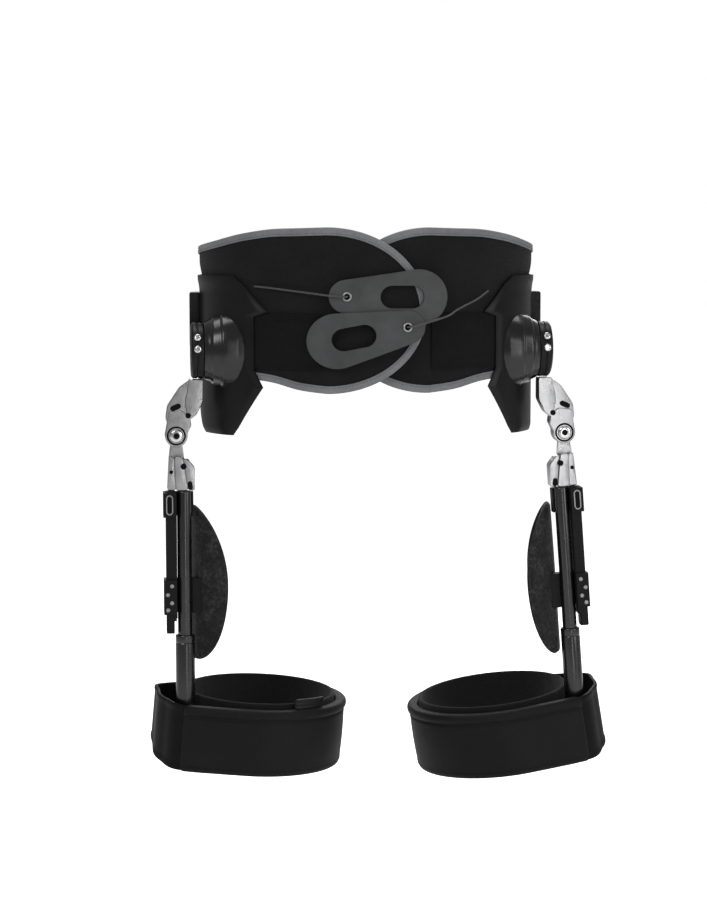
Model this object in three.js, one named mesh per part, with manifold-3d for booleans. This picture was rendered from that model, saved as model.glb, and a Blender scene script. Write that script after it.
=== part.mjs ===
// Bilateral hip orthosis: a padded belt with moulded hip plates carries two hinged uprights with thigh cuffs.
// Millimetres, +Z up, -Y is the wearer's front and +X the wearer's left.
// The origin is the middle of the waist hollow, a little below the hip hinges.
// One side is modelled with X pointing away from the body, and mirrored for the wearer's right.
import * as THREE from "three";
import { mergeVertices } from "three/addons/utils/BufferGeometryUtils.js";
import Module from "manifold-3d";

const wasm = await Module();
wasm.setup();

// Clearances
const seatGap = 0.3; // between pieces that touch
const runningGap = 0.35; // between pieces that slide or turn on each other
const chordAllowance = 0.35; // a faceted curve lies this much inside the true one

// Waist: an upright ellipse that flares towards the belt's top edge
const waistHalfWidth = 157.5;
const waistHalfDepth = 118;
const waistFlare = 5;
const flareStart = 60;
const flareHeight = 32;

// Belt panels
const panelThickness = 4;
const tongueRadius = 77;
const tongueReach = 90; // from the tongue's centre to its tip
const tongueCentreAcross = 48;
const beltCentreHeight = 45;
const panelBackAngle = 100;
const lapRunAngle = 22;
const backPadThickness = 7;
const bindingThickness = 1;
const bindingDepth = 6;

// Front straps
const strapThickness = 1.4;
const strapTop = 42;
const strapBottom = -11;
const strapUnderPlateAngle = 8;
const strapEndAcross = { right: 53, left: 50 };

// Pull tabs and cords
const tabThickness = 2.5;
const tabWideRadius = 26;
const tabNarrowRadius = 16;
const tabPoleAngle = 6; // a tab's first and last rows stop this far short of its poles
const slotRadius = 10.5;
const slotHalfLength = 9;
const slotShift = 15; // the slot's middle lies this far from the wide end's centre, towards the cord hole
const cordHoleRadius = 2.6;
const cordHoleHalfLength = 0.1;
const eyeletRadius = 4.6;
const eyeletThickness = 1.2;
const cordRadius = 1.1;
const cutBeyond = 1; // how far a cutting solid reaches past the faces it cuts

// Hip plate, dome and keeper
const plateThickness = 3;
const plateEdgeThickness = 1.4;
const plateFrontAngle = 46;
const plateTipAngle = 6; // how far the plate's foremost tips reach past its front edge
const plateBackAngle = 110;
const plateTop = 77;
const plateBottom = -76;
const domeRadius = 40;
const domeSlimness = 0.8; // the dome's foot is this much narrower front to back
const domeDepth = 52;
const keeperThickness = 10;
const keeperChamfer = 2;
const keeperTop = 60;
const keeperBottom = 6;
const keeperFrontAngle = 88;
const keeperBackAngle = 104;

// Hip hinge
const hipAxisDepth = -48;
const hipAxisHeight = 5;
const bossReach = 5; // the dome's face stands this far outside the waist's half width
const hingeSpace = 2;
const hingeRadius = 27;
const hingeThickness = 12.5;
const hingeChamfer = 2;
const stopScrewRadius = 3.8;
const stopScrewHeight = 2.5;
const stopScrewAngles = { upper: 29, lower: 5 };

// Abduction pivot and links
const pivotReach = 27.5; // the abduction pivot stands this far outside the dome's face
const pivotDrop = 82;
const earRadius = 11;
const linkThickness = 18;
const eyeRadius = 9.5;
const eyeThickness = 6;
const pinRadius = 4;
const pinHeadRadius = 6.5;
const pinHeadHeight = 2;
const lowerLinkWidth = 24;
const lowerLinkDrop = 20;
const lowerLinkHeight = 33;
const lowerLinkDepth = 19;
const lowerLinkShift = 1; // its middle lies this far outside the rod's
const lowerLinkChamfer = 4;
const lowerLinkShoulder = 8;
const eyeNeckShare = 0.8; // the eye's neck as a share of its radius
const eyeRooted = 2; // how far the eye's neck runs into the block

// Upright
const rodInset = 7; // the rod stands this far inside the abduction pivot
const rodDepth = -55;
const rodRadius = 7;
const rodLength = 215;
const tubeWall = 1.7;
const tubeLength = 125;
const tubeInsertion = 74;
const tubeRise = 12; // how far the tube slides up from here
const lugWidth = 12;
const lugHeight = 50;
const barThickness = 10;
const barWidth = 14;
const barLength = 139;
const barGap = 1;
const barNotchSpace = 2; // between the bar's notch and the tube's end at the top of its slide
const latchHeight = 24;
const latchDrop = 1;
const clampHeight = 34;
const clampDrop = 86;
const blockWall = 2; // a rod block's wall round the bar and beside the rod
const blockBackWall = 4; // its wall behind them

// Thigh pad
const padCurveRadius = 60;
const padCurveInset = 65; // the pad's curve is centred this far inside the rod
const padCurveDepth = -20;
const padThickness = 14;
const padEdgeThickness = 8;
const padHeight = 154;
const padMiddleAngle = -10;
const padHalfAngle = 56;
const padTopDrop = 16;
const padFullness = { upper: 1, lower: 0.7 }; // powers of the oval's reach: the lower the blunter
const padRimPower = 0.3; // how fast the pad thins towards its poles
const padPoleAngle = 8; // the pad's first and last rows stop this far short of its poles

// Thigh cuff
const cuffInset = 2; // the thigh's outer side lies this far inside the rod
const cuffDepth = -5;
const thighHalfWidth = 73;
const thighHalfDepth = 78;
const linerThickness = 4;
const linerRise = 5;
const bandThickness = 10;
const bandHeight = 65;
const bandRollHeight = 9;
const bandRollOut = 1.6;
const bandChamfer = 2;
const bandFrontChamfer = 3;
const bandTopInset = 1;
const bandEndAngle = 240; // turned from the front past the inner thigh to the outer back
const bandTop = -341;
const cuffTilt = 0.05;
const cuffLean = 0.09; // the cuff's walls lean outwards by this much of their drop
const shellThickness = 3.5;
const cuffTabWidth = 36;
const cuffTabHeight = 10;
const cuffTabThickness = 3;
const cuffTabAngle = -34;

// Rest posture
const restAbduction = { right: 0, left: 4.3 };

// Round counts
const roundSides = 24;
const domeSides = 26;
const smallSides = 16;
const cordSides = 8;

// Layers outwards from the waist surface
const panelOut = panelThickness / 2;
const bindingOut = panelOut + seatGap + bindingThickness;
const lapOffset = 2 * bindingOut + seatGap + chordAllowance;
const strapIn = panelOut + seatGap;
const strapOut = strapIn + strapThickness;
const plateIn = strapOut + seatGap + chordAllowance;
const plateOut = plateIn + plateThickness;
const upperTabIn = lapOffset + bindingOut + seatGap + chordAllowance;
const upperTabOut = upperTabIn + tabThickness;
const lowerTabIn = upperTabOut + seatGap + chordAllowance;
const lowerTabOut = lowerTabIn + tabThickness;

// Places that follow from the sizes
const bossFaceAcross = waistHalfWidth + bossReach;
const pivotAcross = bossFaceAcross + pivotReach;
const rodAcross = pivotAcross - rodInset;
const padCurveAcross = rodAcross - padCurveInset;
const cuffAcross = rodAcross - cuffInset - thighHalfWidth;
const hingeIn = bossFaceAcross + seatGap;
const hingeMiddle = hingeIn + hingeThickness / 2;
const pivotHeight = hipAxisHeight - pivotDrop;
const lowerLinkTop = pivotHeight - lowerLinkDrop;
const lowerLinkBottom = lowerLinkTop - lowerLinkHeight;
const rodTop = lowerLinkBottom - seatGap;
const rodBottom = rodTop - rodLength;
const tubeTop = rodBottom + tubeInsertion;
const tubeBore = rodRadius + 2 * runningGap;
const tubeRadius = tubeBore + tubeWall;
const barIn = rodAcross + rodRadius + barGap;
const barTop = rodTop - seatGap;
const clampTop = barTop - clampDrop;
const linerOut = linerThickness / 2;
const bandMiddle = linerOut + seatGap + chordAllowance + bandThickness / 2;

// Tables

// Panel edges from the tongue's centre to the back end: shares of the way and of the tongue's radius
const panelEdge = [
  { turn: 0, top: 1, bottom: 1 },
  { turn: 0.12, top: 0.99, bottom: 0.96 },
  { turn: 0.25, top: 0.98, bottom: 0.88 },
  { turn: 0.4, top: 0.93, bottom: 0.84 },
  { turn: 0.6, top: 0.84, bottom: 0.8 },
  { turn: 1, top: 0.74, bottom: 0.74 },
];

// Hip plate rows: height as a share from bottom to top, edges as degrees past the plate's own front and back
const plateRows = [
  { height: 0, front: 11, back: -30 },
  { height: 0.05, front: 8, back: -25 },
  { height: 0.18, front: 2, back: -15 },
  { height: 0.31, front: -4, back: -8 },
  { height: 0.42, front: 0, back: -3 },
  { height: 0.6, front: 0, back: 0 },
  { height: 0.75, front: 0, back: 0 },
  { height: 0.78, front: -6, back: 0 },
  { height: 0.885, front: 1, back: -1 },
  { height: 0.95, front: 5, back: -2 },
  { height: 1, front: 10, back: -6 },
];

// Hip plate columns between its two edges, as shares of the way from front to back
const plateShares = [0.05, 0.15, 0.27, 0.4, 0.53, 0.66, 0.79, 0.93];

// Dome profile from its buried foot to its face: shares of the dome's depth and radius
const domeRings = [
  { depth: 0, radius: 1 },
  { depth: 0.4, radius: 1 },
  { depth: 0.5, radius: 0.97 },
  { depth: 0.68, radius: 0.92 },
  { depth: 0.7, radius: 0.88 },
  { depth: 0.86, radius: 0.81 },
  { depth: 0.88, radius: 0.76 },
  { depth: 0.97, radius: 0.71 },
  { depth: 1, radius: 0.68 },
];

// Pull tabs: wide end, narrow end and cord hole, millimetres across and up on the belt's front
const tabPlaces = {
  upper: { wideAcross: 34.5, wideUp: 58, narrowAcross: -29.5, narrowUp: 58.5 },
  lower: { wideAcross: -38, wideUp: 17, narrowAcross: 23.3, narrowUp: 30 },
};

// Pull cords, held at both ends: across and up on the belt's front, and the lift of the cord's middle
const cordRoutes = {
  right: [
    { across: -29.5, up: 58.5, lift: upperTabOut - 1 },
    { across: -29.9, up: 58.5, lift: upperTabOut + 1.6 },
    { across: -32.5, up: 58.6, lift: upperTabOut + 3.2 },
    { across: -38, up: 58.9, lift: upperTabOut + 3 },
    { across: -47, up: 59.8, lift: upperTabOut + 2 },
    { across: -57, up: 61.1, lift: upperTabOut - 0.6 },
    { across: -68, up: 62.5, lift: 11 },
    { across: -82, up: 64.2, lift: 8.2 },
    { across: -98, up: 66, lift: 4.8 },
    { across: -113, up: 67.5, lift: 3.9 },
  ],
  left: [
    { across: 23.3, up: 30, lift: lowerTabOut - 1 },
    { across: 23.7, up: 30.1, lift: lowerTabOut + 1.6 },
    { across: 26.3, up: 30.6, lift: lowerTabOut + 3.2 },
    { across: 32, up: 32, lift: lowerTabOut + 3 },
    { across: 41, up: 34.4, lift: lowerTabOut + 2.2 },
    { across: 51, up: 37.3, lift: lowerTabOut + 0.6 },
    { across: 61, up: 40.5, lift: upperTabOut + 1.8 },
    { across: 70, up: 45, lift: 10.5 },
    { across: 80, up: 49, lift: 6.4 },
    { across: 94, up: 55, lift: 4.3 },
    { across: 106, up: 63, lift: 4 },
  ],
};

// Upper link outline, millimetres outwards from the hinge's inner face and down from the hinge's rim
const upperLinkOutline = [
  { out: 1, down: 0 },
  { out: 13, down: 0 },
  { out: 24, down: 8 },
  { out: 36, down: 26 },
];

// Upper link's inner side, from the pivot up: out as above, and the share of the way from the rim to the pivot
const upperLinkInside = [
  { out: 8, share: 0.62 },
  { out: 1, share: 0.4 },
];

// Band corner, where the band leaves the thigh to pass in front of the tube: shares of its half width and depth
const bandCorner = [
  { across: 0.94, ahead: -0.81 },
  { across: 0.747, ahead: -0.868 },
  { across: 0.47, ahead: -0.925 },
];

// Shell path from the band's corner round the outer side: shares as above, edges as shares of the band's height
const shellPath = [
  { across: 0.962, ahead: -0.786, top: 1.0, bottom: 0.02 },
  { across: 1.17, ahead: -0.55, top: 1.03, bottom: 0.07 },
  { across: 1.26, ahead: -0.12, top: 1.06, bottom: 0.2 },
  { across: 1.27, ahead: 0.2, top: 1.04, bottom: 0.26 },
  { across: 1.15, ahead: 0.46, top: 1.0, bottom: 0.22 },
];

// Shell end, seated on the band's outer back: degrees turned from the front, edges as shares of the band's height
const shellEnd = [
  { turned: 126, top: 0.98, bottom: 0.16 },
  { turned: 140, top: 0.96, bottom: 0.1 },
];

// Finishes
const finishes = {
  cloth: { color: 0x1b1b1d, roughness: 0.9, metalness: 0 },
  trim: { color: 0x6c6c6e, roughness: 0.7, metalness: 0 },
  strap: { color: 0x0e0e10, roughness: 0.8, metalness: 0 },
  tab: { color: 0x55565a, roughness: 0.55, metalness: 0 },
  moulded: { color: 0x141416, roughness: 0.35, metalness: 0 },
  steel: { color: 0xc9cacc, roughness: 0.2, metalness: 1 },
  blackTube: { color: 0x101012, roughness: 0.25, metalness: 0.6 },
  mesh: { color: 0x2b2b2c, roughness: 0.9, metalness: 0 },
};

// Small helpers

function smooth(share) {
  const held = Math.min(1, Math.max(0, share));
  return held * held * (3 - 2 * held);
}

function mix(from, to, share) {
  return from + (to - from) * share;
}

// The value of a column in a table whose key column rises, straight between rows.
function readTable(table, key, at, column) {
  const next = table.findIndex((row) => row[key] >= at);
  if (next < 1) return table[Math.max(next, 0)][column];
  const before = table[next - 1];
  const after = table[next];
  const share = (at - before[key]) / (after[key] - before[key]);
  return mix(before[column], after[column], share);
}

function mesh(name, geometry, finish) {
  const made = new THREE.Mesh(geometry, new THREE.MeshStandardMaterial(finishes[finish]));
  made.name = name;
  return made;
}

// A closed solid through rings of points that all follow one outline. A loop joins its ends, others are capped.
function loft(rings, outline, isLoop = false) {
  const isClockwise = THREE.ShapeUtils.area(outline) < 0;
  const profile = isClockwise ? [...outline].reverse() : outline;
  const ordered = isClockwise ? rings.map((ring) => [...ring].reverse()) : rings;
  const count = profile.length;
  const faces = [];
  const spans = isLoop ? ordered.length : ordered.length - 1;
  for (let r = 0; r < spans; r++) {
    const here = r * count;
    const next = ((r + 1) % ordered.length) * count;
    for (let k = 0; k < count; k++) {
      const side = (k + 1) % count;
      faces.push(here + k, here + side, next + side);
      faces.push(here + k, next + side, next + k);
    }
  }
  if (!isLoop) {
    const end = (ordered.length - 1) * count;
    for (const [a, b, c] of THREE.ShapeUtils.triangulateShape(profile, [])) {
      const turn = profile[b].clone().sub(profile[a]).cross(profile[c].clone().sub(profile[a]));
      const [p, q] = turn > 0 ? [b, c] : [c, b];
      faces.push(a, q, p);
      faces.push(end + a, end + p, end + q);
    }
  }
  const points = ordered.flat();
  let volume = 0;
  for (let f = 0; f < faces.length; f += 3) {
    const [a, b, c] = [points[faces[f]], points[faces[f + 1]], points[faces[f + 2]]];
    volume += a.dot(b.clone().cross(c));
  }
  if (volume < 0) faces.reverse();
  const geometry = new THREE.BufferGeometry().setFromPoints(points);
  geometry.setIndex(faces);
  return geometry;
}

function toSolid(geometry) {
  const bare = geometry.clone();
  bare.deleteAttribute("normal");
  bare.deleteAttribute("uv");
  const merged = mergeVertices(bare, 1e-4);
  return new wasm.Manifold(
    new wasm.Mesh({
      numProp: 3,
      vertProperties: merged.attributes.position.array,
      triVerts: new Uint32Array(merged.index.array),
    }),
  );
}

function toGeometry(solid) {
  const made = solid.getMesh();
  const geometry = new THREE.BufferGeometry();
  geometry.setAttribute("position", new THREE.BufferAttribute(made.vertProperties, 3));
  geometry.setIndex(new THREE.BufferAttribute(made.triVerts, 1));
  return geometry;
}

// A solid of revolution about a line along X, from rows of (along, radius).
function turned(rows, sides, depth, height) {
  const profile = rows.map((row) => new THREE.Vector2(row.radius, row.along));
  const geometry = new THREE.LatheGeometry(profile, sides);
  geometry.rotateZ(-Math.PI / 2);
  geometry.translate(0, depth, height);
  return geometry;
}

// An upright cylinder between two heights.
function upright(radius, bottom, top, across, depth, sides) {
  const geometry = new THREE.CylinderGeometry(radius, radius, top - bottom, sides);
  geometry.rotateX(Math.PI / 2);
  geometry.translate(across, depth, (top + bottom) / 2);
  return geometry;
}

// A cylinder that lies front to back.
function lying(radius, length, across, depth, height, sides) {
  const geometry = new THREE.CylinderGeometry(radius, radius, length, sides);
  geometry.translate(across, depth, height);
  return geometry;
}

function box(low, high) {
  const geometry = new THREE.BoxGeometry(high[0] - low[0], high[1] - low[1], high[2] - low[2]);
  geometry.translate((high[0] + low[0]) / 2, (high[1] + low[1]) / 2, (high[2] + low[2]) / 2);
  return geometry;
}

// A flat outline in the X-Z plane, made thick front to back.
function slab(shape, thickness, depth) {
  const geometry = new THREE.ExtrudeGeometry(shape, { depth: thickness, bevelEnabled: false });
  geometry.rotateX(Math.PI / 2);
  geometry.translate(0, depth + thickness / 2, 0);
  return geometry;
}

// Waist surface

// The point at an angle from the front, at a height, so far outside the waist surface.
function onWaist(angle, height, out) {
  const flare = waistFlare * Math.sin(angle) ** 2 * smooth((height - flareStart) / flareHeight);
  const halfWidth = waistHalfWidth + flare;
  const halfDepth = waistHalfDepth + flare;
  const normal = new THREE.Vector2(Math.sin(angle) / halfWidth, -Math.cos(angle) / halfDepth).normalize();
  const across = halfWidth * Math.sin(angle) + out * normal.x;
  const depth = -halfDepth * Math.cos(angle) + out * normal.y;
  return new THREE.Vector3(across, depth, height);
}

function waistNormal(angle) {
  return new THREE.Vector3(Math.sin(angle) / waistHalfWidth, -Math.cos(angle) / waistHalfDepth, 0).normalize();
}

function angleAcross(across) {
  return Math.asin(across / waistHalfWidth);
}

// How far a panel is lifted off the waist surface: the upper panel climbs over the lower one.
function lap(angle, isUpper) {
  if (!isUpper) return 0;
  const lapStart = THREE.MathUtils.degToRad(plateFrontAngle - plateTipAngle);
  const run = THREE.MathUtils.degToRad(lapRunAngle);
  return lapOffset * smooth((lapStart - angle) / run);
}

// Stations along a panel, from its back end to its tongue's tip. The angle is positive on the panel's own side.
function panelStations(isUpper) {
  const stations = [];
  const tongueAngle = angleAcross(tongueCentreAcross);
  const backAngle = THREE.MathUtils.degToRad(panelBackAngle);
  const straightSteps = 10;
  for (let i = 0; i <= straightSteps; i++) {
    const turn = 1 - i / straightSteps;
    const angle = mix(tongueAngle, backAngle, turn);
    stations.push({
      angle,
      out: lap(angle, isUpper),
      top: beltCentreHeight + tongueRadius * readTable(panelEdge, "turn", turn, "top"),
      bottom: beltCentreHeight - tongueRadius * readTable(panelEdge, "turn", turn, "bottom"),
    });
  }
  const roundSteps = 8;
  const lastTurn = THREE.MathUtils.degToRad(86);
  for (let i = 1; i <= roundSteps; i++) {
    const turn = (lastTurn * i) / roundSteps;
    const angle = angleAcross(tongueCentreAcross - tongueReach * Math.sin(turn));
    stations.push({
      angle,
      out: lap(angle, isUpper),
      top: beltCentreHeight + tongueRadius * Math.cos(turn),
      bottom: beltCentreHeight - tongueRadius * Math.cos(turn),
    });
  }
  return stations;
}

// A wall on the waist between its stations' bottom and top edges. Sides are shares of the height.
function waistWall(stations, inner, outer, shares) {
  const outline = [
    ...shares.map((share) => new THREE.Vector2(outer, share)),
    ...[...shares].reverse().map((share) => new THREE.Vector2(inner, share)),
  ];
  const rings = stations.map((station) =>
    outline.map((point) =>
      onWaist(station.angle, mix(station.bottom, station.top, point.y), station.out + point.x),
    ),
  );
  return loft(rings, outline);
}

const wallShares = [0, 0.4, 0.64, 0.78, 0.92, 1];

function beltPanel(isUpper) {
  return waistWall(panelStations(isUpper), -panelOut, panelOut, wallShares);
}

// Edge binding: a channel carried along the panel's top edge, round the tongue and back along the bottom.
function edgeBinding(isUpper) {
  const stations = panelStations(isUpper);
  const top = stations.map((s) => ({ angle: s.angle, height: s.top, out: s.out }));
  const bottom = stations.map((s) => ({ angle: s.angle, height: s.bottom, out: s.out })).reverse();
  const path = [...top, ...bottom];
  const points = path.map((p) => onWaist(p.angle, p.height, p.out));
  const gap = seatGap;
  const skin = seatGap + bindingThickness;
  const outline = [
    new THREE.Vector2(panelOut + gap, -bindingDepth),
    new THREE.Vector2(panelOut + skin, -bindingDepth),
    new THREE.Vector2(panelOut + skin, skin),
    new THREE.Vector2(-panelOut - skin, skin),
    new THREE.Vector2(-panelOut - skin, -bindingDepth),
    new THREE.Vector2(-panelOut - gap, -bindingDepth),
    new THREE.Vector2(-panelOut - gap, gap),
    new THREE.Vector2(panelOut + gap, gap),
  ];
  const rings = path.map((place, i) => {
    const before = points[Math.max(0, i - 1)];
    const after = points[Math.min(points.length - 1, i + 1)];
    const along = after.clone().sub(before).normalize();
    const normal = waistNormal(place.angle);
    const away = along.clone().cross(normal).normalize();
    return outline.map((p) =>
      points[i].clone().addScaledVector(normal, p.x).addScaledVector(away, p.y),
    );
  });
  return loft(rings, outline);
}

// Plain padded back that closes the belt behind the front panels.
function beltBack() {
  const steps = 16;
  const edge = panelEdge[panelEdge.length - 1];
  const endGap = seatGap / waistHalfDepth;
  const start = THREE.MathUtils.degToRad(panelBackAngle) + endGap;
  const stations = [];
  for (let i = 0; i <= steps; i++) {
    stations.push({
      angle: mix(start, 2 * Math.PI - start, i / steps),
      out: 0,
      top: beltCentreHeight + tongueRadius * edge.top,
      bottom: beltCentreHeight - tongueRadius * edge.bottom,
    });
  }
  return waistWall(stations, -backPadThickness / 2, backPadThickness / 2, wallShares);
}

// Strap from under the hip plate to the front, on its own side's panel.
function frontStrap(isUpper, endAcross) {
  const start = THREE.MathUtils.degToRad(plateFrontAngle + strapUnderPlateAngle);
  const end = angleAcross(endAcross);
  const between = panelStations(isUpper)
    .map((station) => station.angle)
    .filter((angle) => angle < start && angle > end);
  const stations = [start, ...between, end].map((angle) => ({
    angle,
    out: lap(angle, isUpper),
    top: strapTop,
    bottom: strapBottom,
  }));
  return waistWall(stations, strapIn, strapOut, [0, 1]);
}

// Pull tabs

// A plate on the waist whose outline wraps a wide and a narrow circle.
function wrappedPlate(wide, narrow, inner, outer, arcSteps, straightSteps) {
  const length = Math.hypot(narrow.across - wide.across, narrow.up - wide.up);
  const tilt = Math.asin((wide.radius - narrow.radius) / length);
  const tangent = Math.PI / 2 - tilt;
  const nearlyPole = THREE.MathUtils.degToRad(tabPoleAngle);
  const rows = [];
  for (let i = 0; i <= arcSteps; i++) {
    const turn = mix(Math.PI - nearlyPole, tangent, i / arcSteps);
    rows.push({ along: wide.radius * Math.cos(turn), half: wide.radius * Math.sin(turn) });
  }
  for (let i = 1; i < straightSteps; i++) {
    const share = i / straightSteps;
    rows.push({
      along: mix(wide.radius * Math.cos(tangent), length + narrow.radius * Math.cos(tangent), share),
      half: mix(wide.radius, narrow.radius, share) * Math.sin(tangent),
    });
  }
  for (let i = 0; i <= arcSteps; i++) {
    const turn = mix(tangent, nearlyPole, i / arcSteps);
    rows.push({ along: length + narrow.radius * Math.cos(turn), half: narrow.radius * Math.sin(turn) });
  }
  const run = { across: (narrow.across - wide.across) / length, up: (narrow.up - wide.up) / length };
  const outline = [
    new THREE.Vector2(inner, -1),
    new THREE.Vector2(outer, -1),
    new THREE.Vector2(outer, 1),
    new THREE.Vector2(inner, 1),
  ];
  const rings = rows.map((row) =>
    outline.map((point) => {
      const across = wide.across + run.across * row.along - run.up * row.half * point.y;
      const up = wide.up + run.up * row.along + run.across * row.half * point.y;
      return onWaist(angleAcross(across), up, point.x);
    }),
  );
  return loft(rings, outline);
}

function pullTab(place, inner, outer) {
  const wide = { across: place.wideAcross, up: place.wideUp, radius: tabWideRadius };
  const narrow = { across: place.narrowAcross, up: place.narrowUp, radius: tabNarrowRadius };
  const plate = toSolid(wrappedPlate(wide, narrow, inner, outer, 6, 6));
  const length = Math.hypot(narrow.across - wide.across, narrow.up - wide.up);
  const towardsHole = (distance) => ({
    across: mix(wide.across, narrow.across, distance / length),
    up: mix(wide.up, narrow.up, distance / length),
    radius: slotRadius,
  });
  const slotFrom = towardsHole(slotShift - slotHalfLength);
  const slotTo = towardsHole(slotShift + slotHalfLength);
  const cutIn = inner - cutBeyond;
  const cutOut = outer + cutBeyond;
  const slot = toSolid(wrappedPlate(slotFrom, slotTo, cutIn, cutOut, 4, 2));
  const holeFrom = { across: narrow.across - cordHoleHalfLength, up: narrow.up, radius: cordHoleRadius };
  const holeTo = { across: narrow.across + cordHoleHalfLength, up: narrow.up, radius: cordHoleRadius };
  const hole = toSolid(wrappedPlate(holeFrom, holeTo, cutIn, cutOut, 3, 1));
  return toGeometry(plate.subtract(slot).subtract(hole));
}

// Bright ring on the tab's face round the cord hole.
function eyelet(name, place, faceOut) {
  const low = seatGap;
  const high = seatGap + eyeletThickness;
  const profile = [
    new THREE.Vector2(cordHoleRadius, low),
    new THREE.Vector2(eyeletRadius, low),
    new THREE.Vector2(eyeletRadius, high),
    new THREE.Vector2(cordHoleRadius, high),
    new THREE.Vector2(cordHoleRadius, low),
  ];
  const ring = mesh(name, new THREE.LatheGeometry(profile, smallSides), "steel");
  const angle = angleAcross(place.narrowAcross);
  ring.position.copy(onWaist(angle, place.narrowUp, faceOut));
  ring.quaternion.setFromUnitVectors(new THREE.Vector3(0, 1, 0), waistNormal(angle));
  return ring;
}

function pullCord(route) {
  const points = route.map((row) => onWaist(angleAcross(row.across), row.up, row.lift));
  const curve = new THREE.CatmullRomCurve3(points);
  const section = new THREE.Shape();
  for (let i = 0; i < cordSides; i++) {
    const turn = (2 * Math.PI * i) / cordSides;
    if (i === 0) section.moveTo(cordRadius, 0);
    else section.lineTo(cordRadius * Math.cos(turn), cordRadius * Math.sin(turn));
  }
  return new THREE.ExtrudeGeometry(section, { steps: 25, extrudePath: curve, bevelEnabled: false });
}

// Hip plate with its dome

function hipPlate() {
  const shares = plateShares;
  const outline = [
    new THREE.Vector2(0, plateIn),
    ...shares.map((share) => new THREE.Vector2(share, plateIn)),
    new THREE.Vector2(1, plateIn),
    new THREE.Vector2(1, plateIn + plateEdgeThickness),
    ...[...shares].reverse().map((share) => new THREE.Vector2(share, plateOut)),
    new THREE.Vector2(0, plateIn + plateEdgeThickness),
  ];
  const rings = plateRows.map((row) => {
    const front = THREE.MathUtils.degToRad(plateFrontAngle + row.front);
    const back = THREE.MathUtils.degToRad(plateBackAngle + row.back);
    const height = mix(plateBottom, plateTop, row.height);
    return outline.map((point) => onWaist(mix(front, back, point.x), height, point.y));
  });
  const plate = toSolid(loft(rings, outline));
  const foot = bossFaceAcross - domeDepth;
  const profile = domeRings.map((row) => ({
    along: foot + domeDepth * row.depth,
    radius: domeRadius * row.radius,
  }));
  const domeForm = turned(
    [{ along: foot, radius: 0 }, ...profile, { along: bossFaceAcross, radius: 0 }],
    domeSides,
    hipAxisDepth,
    hipAxisHeight,
  );
  const places = domeForm.attributes.position;
  for (let i = 0; i < places.count; i++) {
    const slimness = mix(domeSlimness, 1, smooth((places.getX(i) - foot) / domeDepth));
    places.setY(i, mix(hipAxisDepth, places.getY(i), slimness));
  }
  const dome = toSolid(domeForm);
  const face = toSolid(
    box(
      [bossFaceAcross, hipAxisDepth - domeRadius, hipAxisHeight - domeRadius],
      [bossFaceAcross + domeDepth, hipAxisDepth + hingeRadius + hingeSpace, hipAxisHeight + domeRadius],
    ),
  );
  return toGeometry(plate.subtract(face).add(dome.subtract(insideOfPlate())));
}

// The upright column up to the middle of the plate's wall, where the dome ends.
function insideOfPlate() {
  const sides = 72;
  const wallMiddle = plateIn + plateThickness / 2;
  const outline = [];
  for (let i = 0; i < sides; i++) {
    const angle = (2 * Math.PI * i) / sides;
    outline.push(new THREE.Vector2(Math.sin(angle), -Math.cos(angle)));
  }
  const rings = [plateBottom, plateTop].map((height) =>
    outline.map((point) => onWaist(Math.atan2(point.x, -point.y), height, wallMiddle)),
  );
  return toSolid(loft(rings, outline));
}

function keeper() {
  const steps = 3;
  const start = THREE.MathUtils.degToRad(keeperFrontAngle);
  const end = THREE.MathUtils.degToRad(keeperBackAngle);
  const foot = plateOut + seatGap;
  const face = plateOut + keeperThickness;
  const outline = [
    new THREE.Vector2(foot, keeperBottom),
    new THREE.Vector2(face - keeperChamfer, keeperBottom),
    new THREE.Vector2(face, keeperBottom + keeperChamfer),
    new THREE.Vector2(face, keeperTop - keeperChamfer),
    new THREE.Vector2(face - keeperChamfer, keeperTop),
    new THREE.Vector2(foot, keeperTop),
  ];
  const rings = [];
  for (let i = 0; i <= steps; i++) {
    rings.push(outline.map((point) => onWaist(mix(start, end, i / steps), point.y, point.x)));
  }
  return loft(rings, outline);
}

// Hip hinge

function hingeDisc() {
  const face = hingeIn + hingeThickness;
  return turned(
    [
      { along: hingeIn, radius: 0 },
      { along: hingeIn, radius: hingeRadius },
      { along: face - hingeChamfer, radius: hingeRadius },
      { along: face, radius: hingeRadius - hingeChamfer },
      { along: face, radius: 0 },
    ],
    roundSides,
    hipAxisDepth,
    hipAxisHeight,
  );
}

// A stop screw's head on the hinge's rim, at an angle above straight ahead.
function stopScrew(name, above) {
  const geometry = new THREE.CylinderGeometry(stopScrewRadius, stopScrewRadius, stopScrewHeight, smallSides);
  const screw = mesh(name, geometry, "steel");
  const turn = THREE.MathUtils.degToRad(above);
  const away = new THREE.Vector3(0, -Math.cos(turn), Math.sin(turn));
  const reach = hingeRadius + seatGap + stopScrewHeight / 2;
  screw.position.set(hingeMiddle, hipAxisDepth, hipAxisHeight).addScaledVector(away, reach);
  screw.quaternion.setFromUnitVectors(new THREE.Vector3(0, 1, 0), away);
  return screw;
}

// Links

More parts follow.
